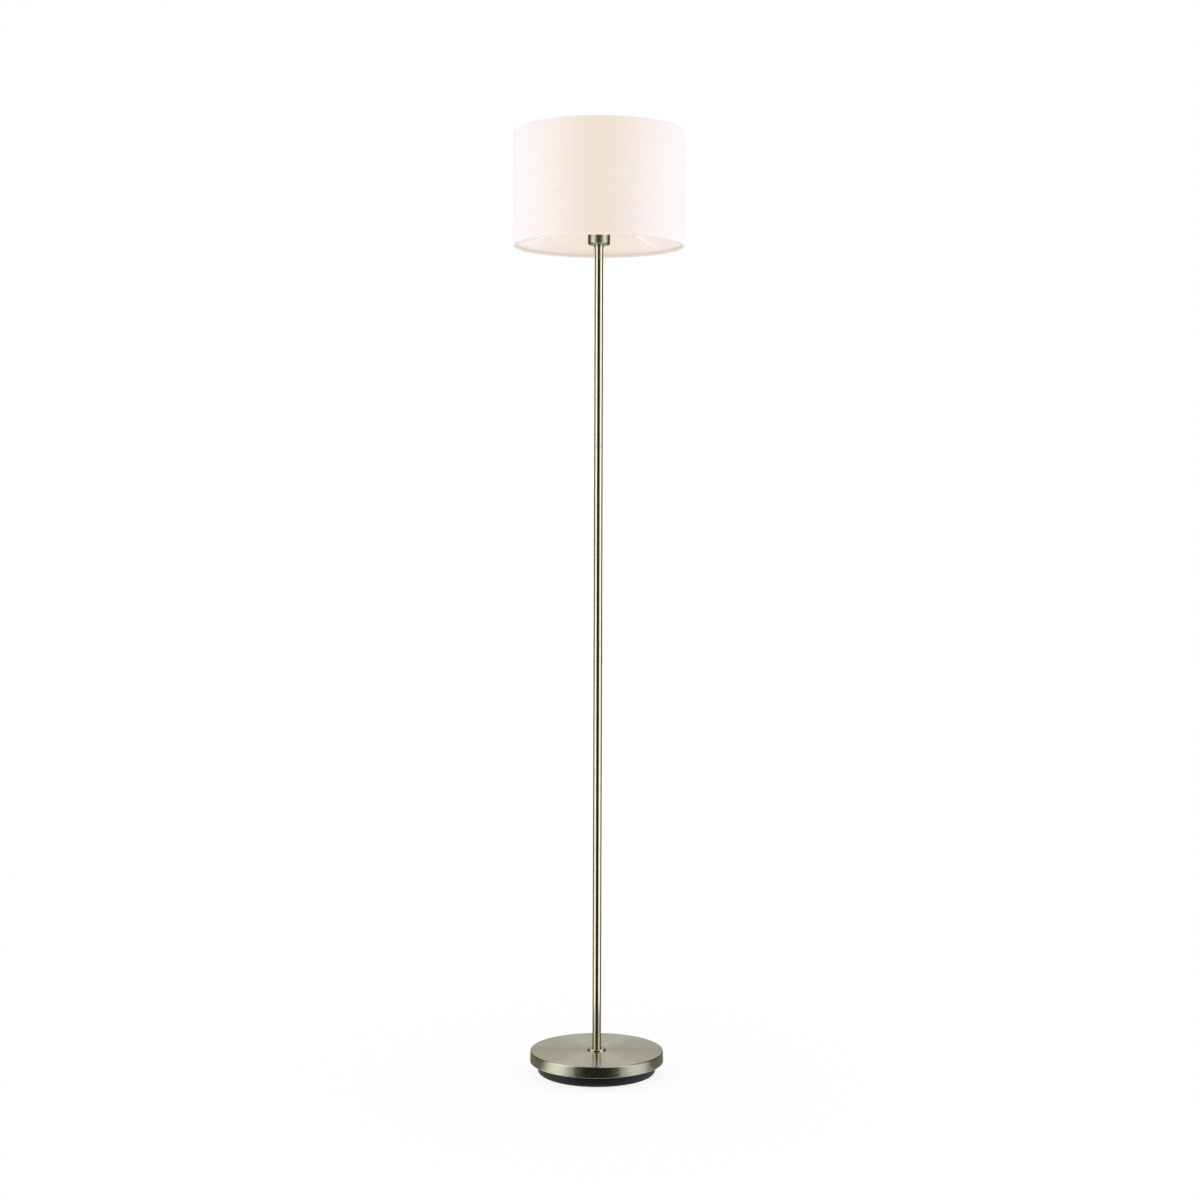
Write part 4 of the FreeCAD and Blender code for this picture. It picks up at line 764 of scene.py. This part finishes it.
# %% Moulded thread of the holder's skirt
SKIRT_RADIUS = 19.75 * MM
SKIRT_PITCH = 2.4 * MM
SKIRT_RIB = 0.4 * MM
RIB_SUNK = 0.15 * MM
THREAD_RUN_OUT = 1.6 * MM
rib_tree, given = new_tree("moulded_thread", [
    ("Radius", "Float"), ("Rib", "Float"), ("Turns", "Float"), ("Foot", "Float"),
    ("Height", "Float"), ("Plastic", "Material")])
spiral = add_node(rib_tree, "GeometryNodeCurveSpiral", {"Resolution": 48},
                  {"Rotations": given["Turns"], "Start Radius": given["Radius"],
                   "End Radius": given["Radius"], "Height": given["Height"]})
bead = add_node(rib_tree, "GeometryNodeCurvePrimitiveCircle", {"Resolution": 8},
                {"Radius": given["Rib"]})
swept = add_node(rib_tree, "GeometryNodeCurveToMesh", {"Fill Caps": True},
                 {"Curve": spiral.outputs[0], "Profile Curve": bead.outputs[0]})
lift = add_node(rib_tree, "ShaderNodeCombineXYZ", links={2: given["Foot"]})
raised = add_node(rib_tree, "GeometryNodeTransform", None,
                  {"Geometry": swept.outputs[0], "Translation": lift.outputs[0]})
smooth = add_node(rib_tree, "GeometryNodeSetShadeSmooth", None, {0: raised.outputs[0]})
close_tree(rib_tree, smooth.outputs[0], given["Plastic"])

skirt_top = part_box("holder_skirt")[1][2]
nut_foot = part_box("shade_ring_nut")[0][2]
skirt_thread = bpy.data.objects.new("skirt_thread", bpy.data.meshes.new("skirt_thread"))
scene.collection.objects.link(skirt_thread)
thread_height = skirt_top - nut_foot - THREAD_RUN_OUT
grow(skirt_thread, rib_tree,
     {"Radius": SKIRT_RADIUS - RIB_SUNK, "Rib": SKIRT_RIB, "Turns": thread_height / SKIRT_PITCH,
      "Foot": nut_foot + SKIRT_RIB, "Height": thread_height, "Plastic": white_holder})
make_plain(skirt_thread)
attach(skirt_thread, "stand")

# %% [markdown]
# ## Tray screws
# Three countersunk screws hold the tray to the weight from below. Each is a cone with a cross
# recess cut into it, a shank and a spiral rib for its thread. One screw is built, and Geometry
# Nodes set it on every point of a circle, so the count and the circle are single inputs.

# %% Countersunk screws on their circle
SCREW_COUNT = 3
SCREW_HEAD_RADIUS = 3.5 * MM
SCREW_SHANK_RADIUS = 1.75 * MM
SHANK_START = 1.2 * MM
RECESS_LONG = 3.6 * MM
RECESS_WIDE = 0.8 * MM
RECESS_DEEP = 2.2 * MM
screw_tree, given = new_tree("countersunk_screws", [
    ("Circle radius", "Float"), ("Head radius", "Float"), ("Shank radius", "Float"), ("Length", "Float"),
    ("Foot", "Float"), ("Plated steel", "Material")])
head_height = add_node(screw_tree, "ShaderNodeMath", {"operation": "SUBTRACT"},
                       {0: given["Head radius"], 1: given["Shank radius"]})
cone = add_node(screw_tree, "GeometryNodeMeshCone", {"Vertices": 40},
                {"Radius Top": given["Shank radius"], "Radius Bottom": given["Head radius"],
                 "Depth": head_height.outputs[0]})
slots = [add_node(screw_tree, "GeometryNodeMeshCube", {"Size": size})
         for size in ((RECESS_LONG, RECESS_WIDE, RECESS_DEEP), (RECESS_WIDE, RECESS_LONG, RECESS_DEEP))]
cut = add_node(screw_tree, "GeometryNodeMeshBoolean", {"operation": "DIFFERENCE"},
               {0: cone.outputs["Mesh"]})
for slot in slots:
    screw_tree.links.new(slot.outputs["Mesh"], cut.inputs[1])
shank = add_node(screw_tree, "GeometryNodeMeshCylinder", {"Vertices": 24},
                 {"Radius": given["Shank radius"], "Depth": given["Length"]})
half = add_node(screw_tree, "ShaderNodeMath", {"operation": "MULTIPLY_ADD", 1: 0.5, 2: SHANK_START},
                {0: given["Length"]})
shank_up = add_node(screw_tree, "ShaderNodeCombineXYZ", links={2: half.outputs[0]})
raised = add_node(screw_tree, "GeometryNodeTransform", None,
                  {"Geometry": shank.outputs["Mesh"], "Translation": shank_up.outputs[0]})
thread_path = add_node(screw_tree, "GeometryNodeCurveSpiral", {"Resolution": 20, "Rotations": 6.0},
                       {"Start Radius": given["Shank radius"], "End Radius": given["Shank radius"],
                        "Height": given["Length"]})
thread_bead = add_node(screw_tree, "GeometryNodeCurvePrimitiveCircle",
                       {"Resolution": 6, "Radius": 0.12 * MM})
thread = add_node(screw_tree, "GeometryNodeCurveToMesh", {"Fill Caps": True},
                  {"Curve": thread_path.outputs[0], "Profile Curve": thread_bead.outputs[0]})
threaded = add_node(screw_tree, "GeometryNodeTransform",
                    {"Translation": (0, 0, 1.6 * MM), "Scale": (1, 1, 0.86)},
                    {"Geometry": thread.outputs[0]})
screw = add_node(screw_tree, "GeometryNodeJoinGeometry")
for part in (threaded.outputs[0], raised.outputs[0], cut.outputs["Mesh"]):
    screw_tree.links.new(part, screw.inputs[0])
circle = add_node(screw_tree, "GeometryNodeMeshCircle", {"Vertices": SCREW_COUNT},
                  {"Radius": given["Circle radius"]})
placed = add_node(screw_tree, "GeometryNodeInstanceOnPoints", None,
                  {"Points": circle.outputs[0], "Instance": screw.outputs[0]})
foot = add_node(screw_tree, "ShaderNodeCombineXYZ", links={2: given["Foot"]})
seated = add_node(screw_tree, "GeometryNodeTransform", None,
                  {"Geometry": placed.outputs[0], "Translation": foot.outputs[0]})
close_tree(screw_tree, seated.outputs[0], given["Plated steel"])

screw_low, screw_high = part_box("tray_screws")
cross_screws = bpy.data.objects.new("cross_recess_screws", bpy.data.meshes.new("cross_recess_screws"))
scene.collection.objects.link(cross_screws)
grow(cross_screws, screw_tree,
     {"Circle radius": screw_high[0] - SCREW_HEAD_RADIUS, "Head radius": SCREW_HEAD_RADIUS,
      "Shank radius": SCREW_SHANK_RADIUS, "Length": screw_high[2] - screw_low[2] - SHANK_START,
      "Foot": screw_low[2], "Plated steel": zinc_steel})
make_plain(cross_screws)
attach(cross_screws, "stand")
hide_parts("tray_screws")

# %% [markdown]
# ## What the cup mirrors
# The photographed cup and the top of the column mirror the room's stripes, and not the pale
# inside of the shade. So mirrored rays pass through the cloth and its liner here.

# %% Mirrored rays and the shade
for lining in (cloth, nodes["shade_liner"]):
    lining.visible_glossy = False
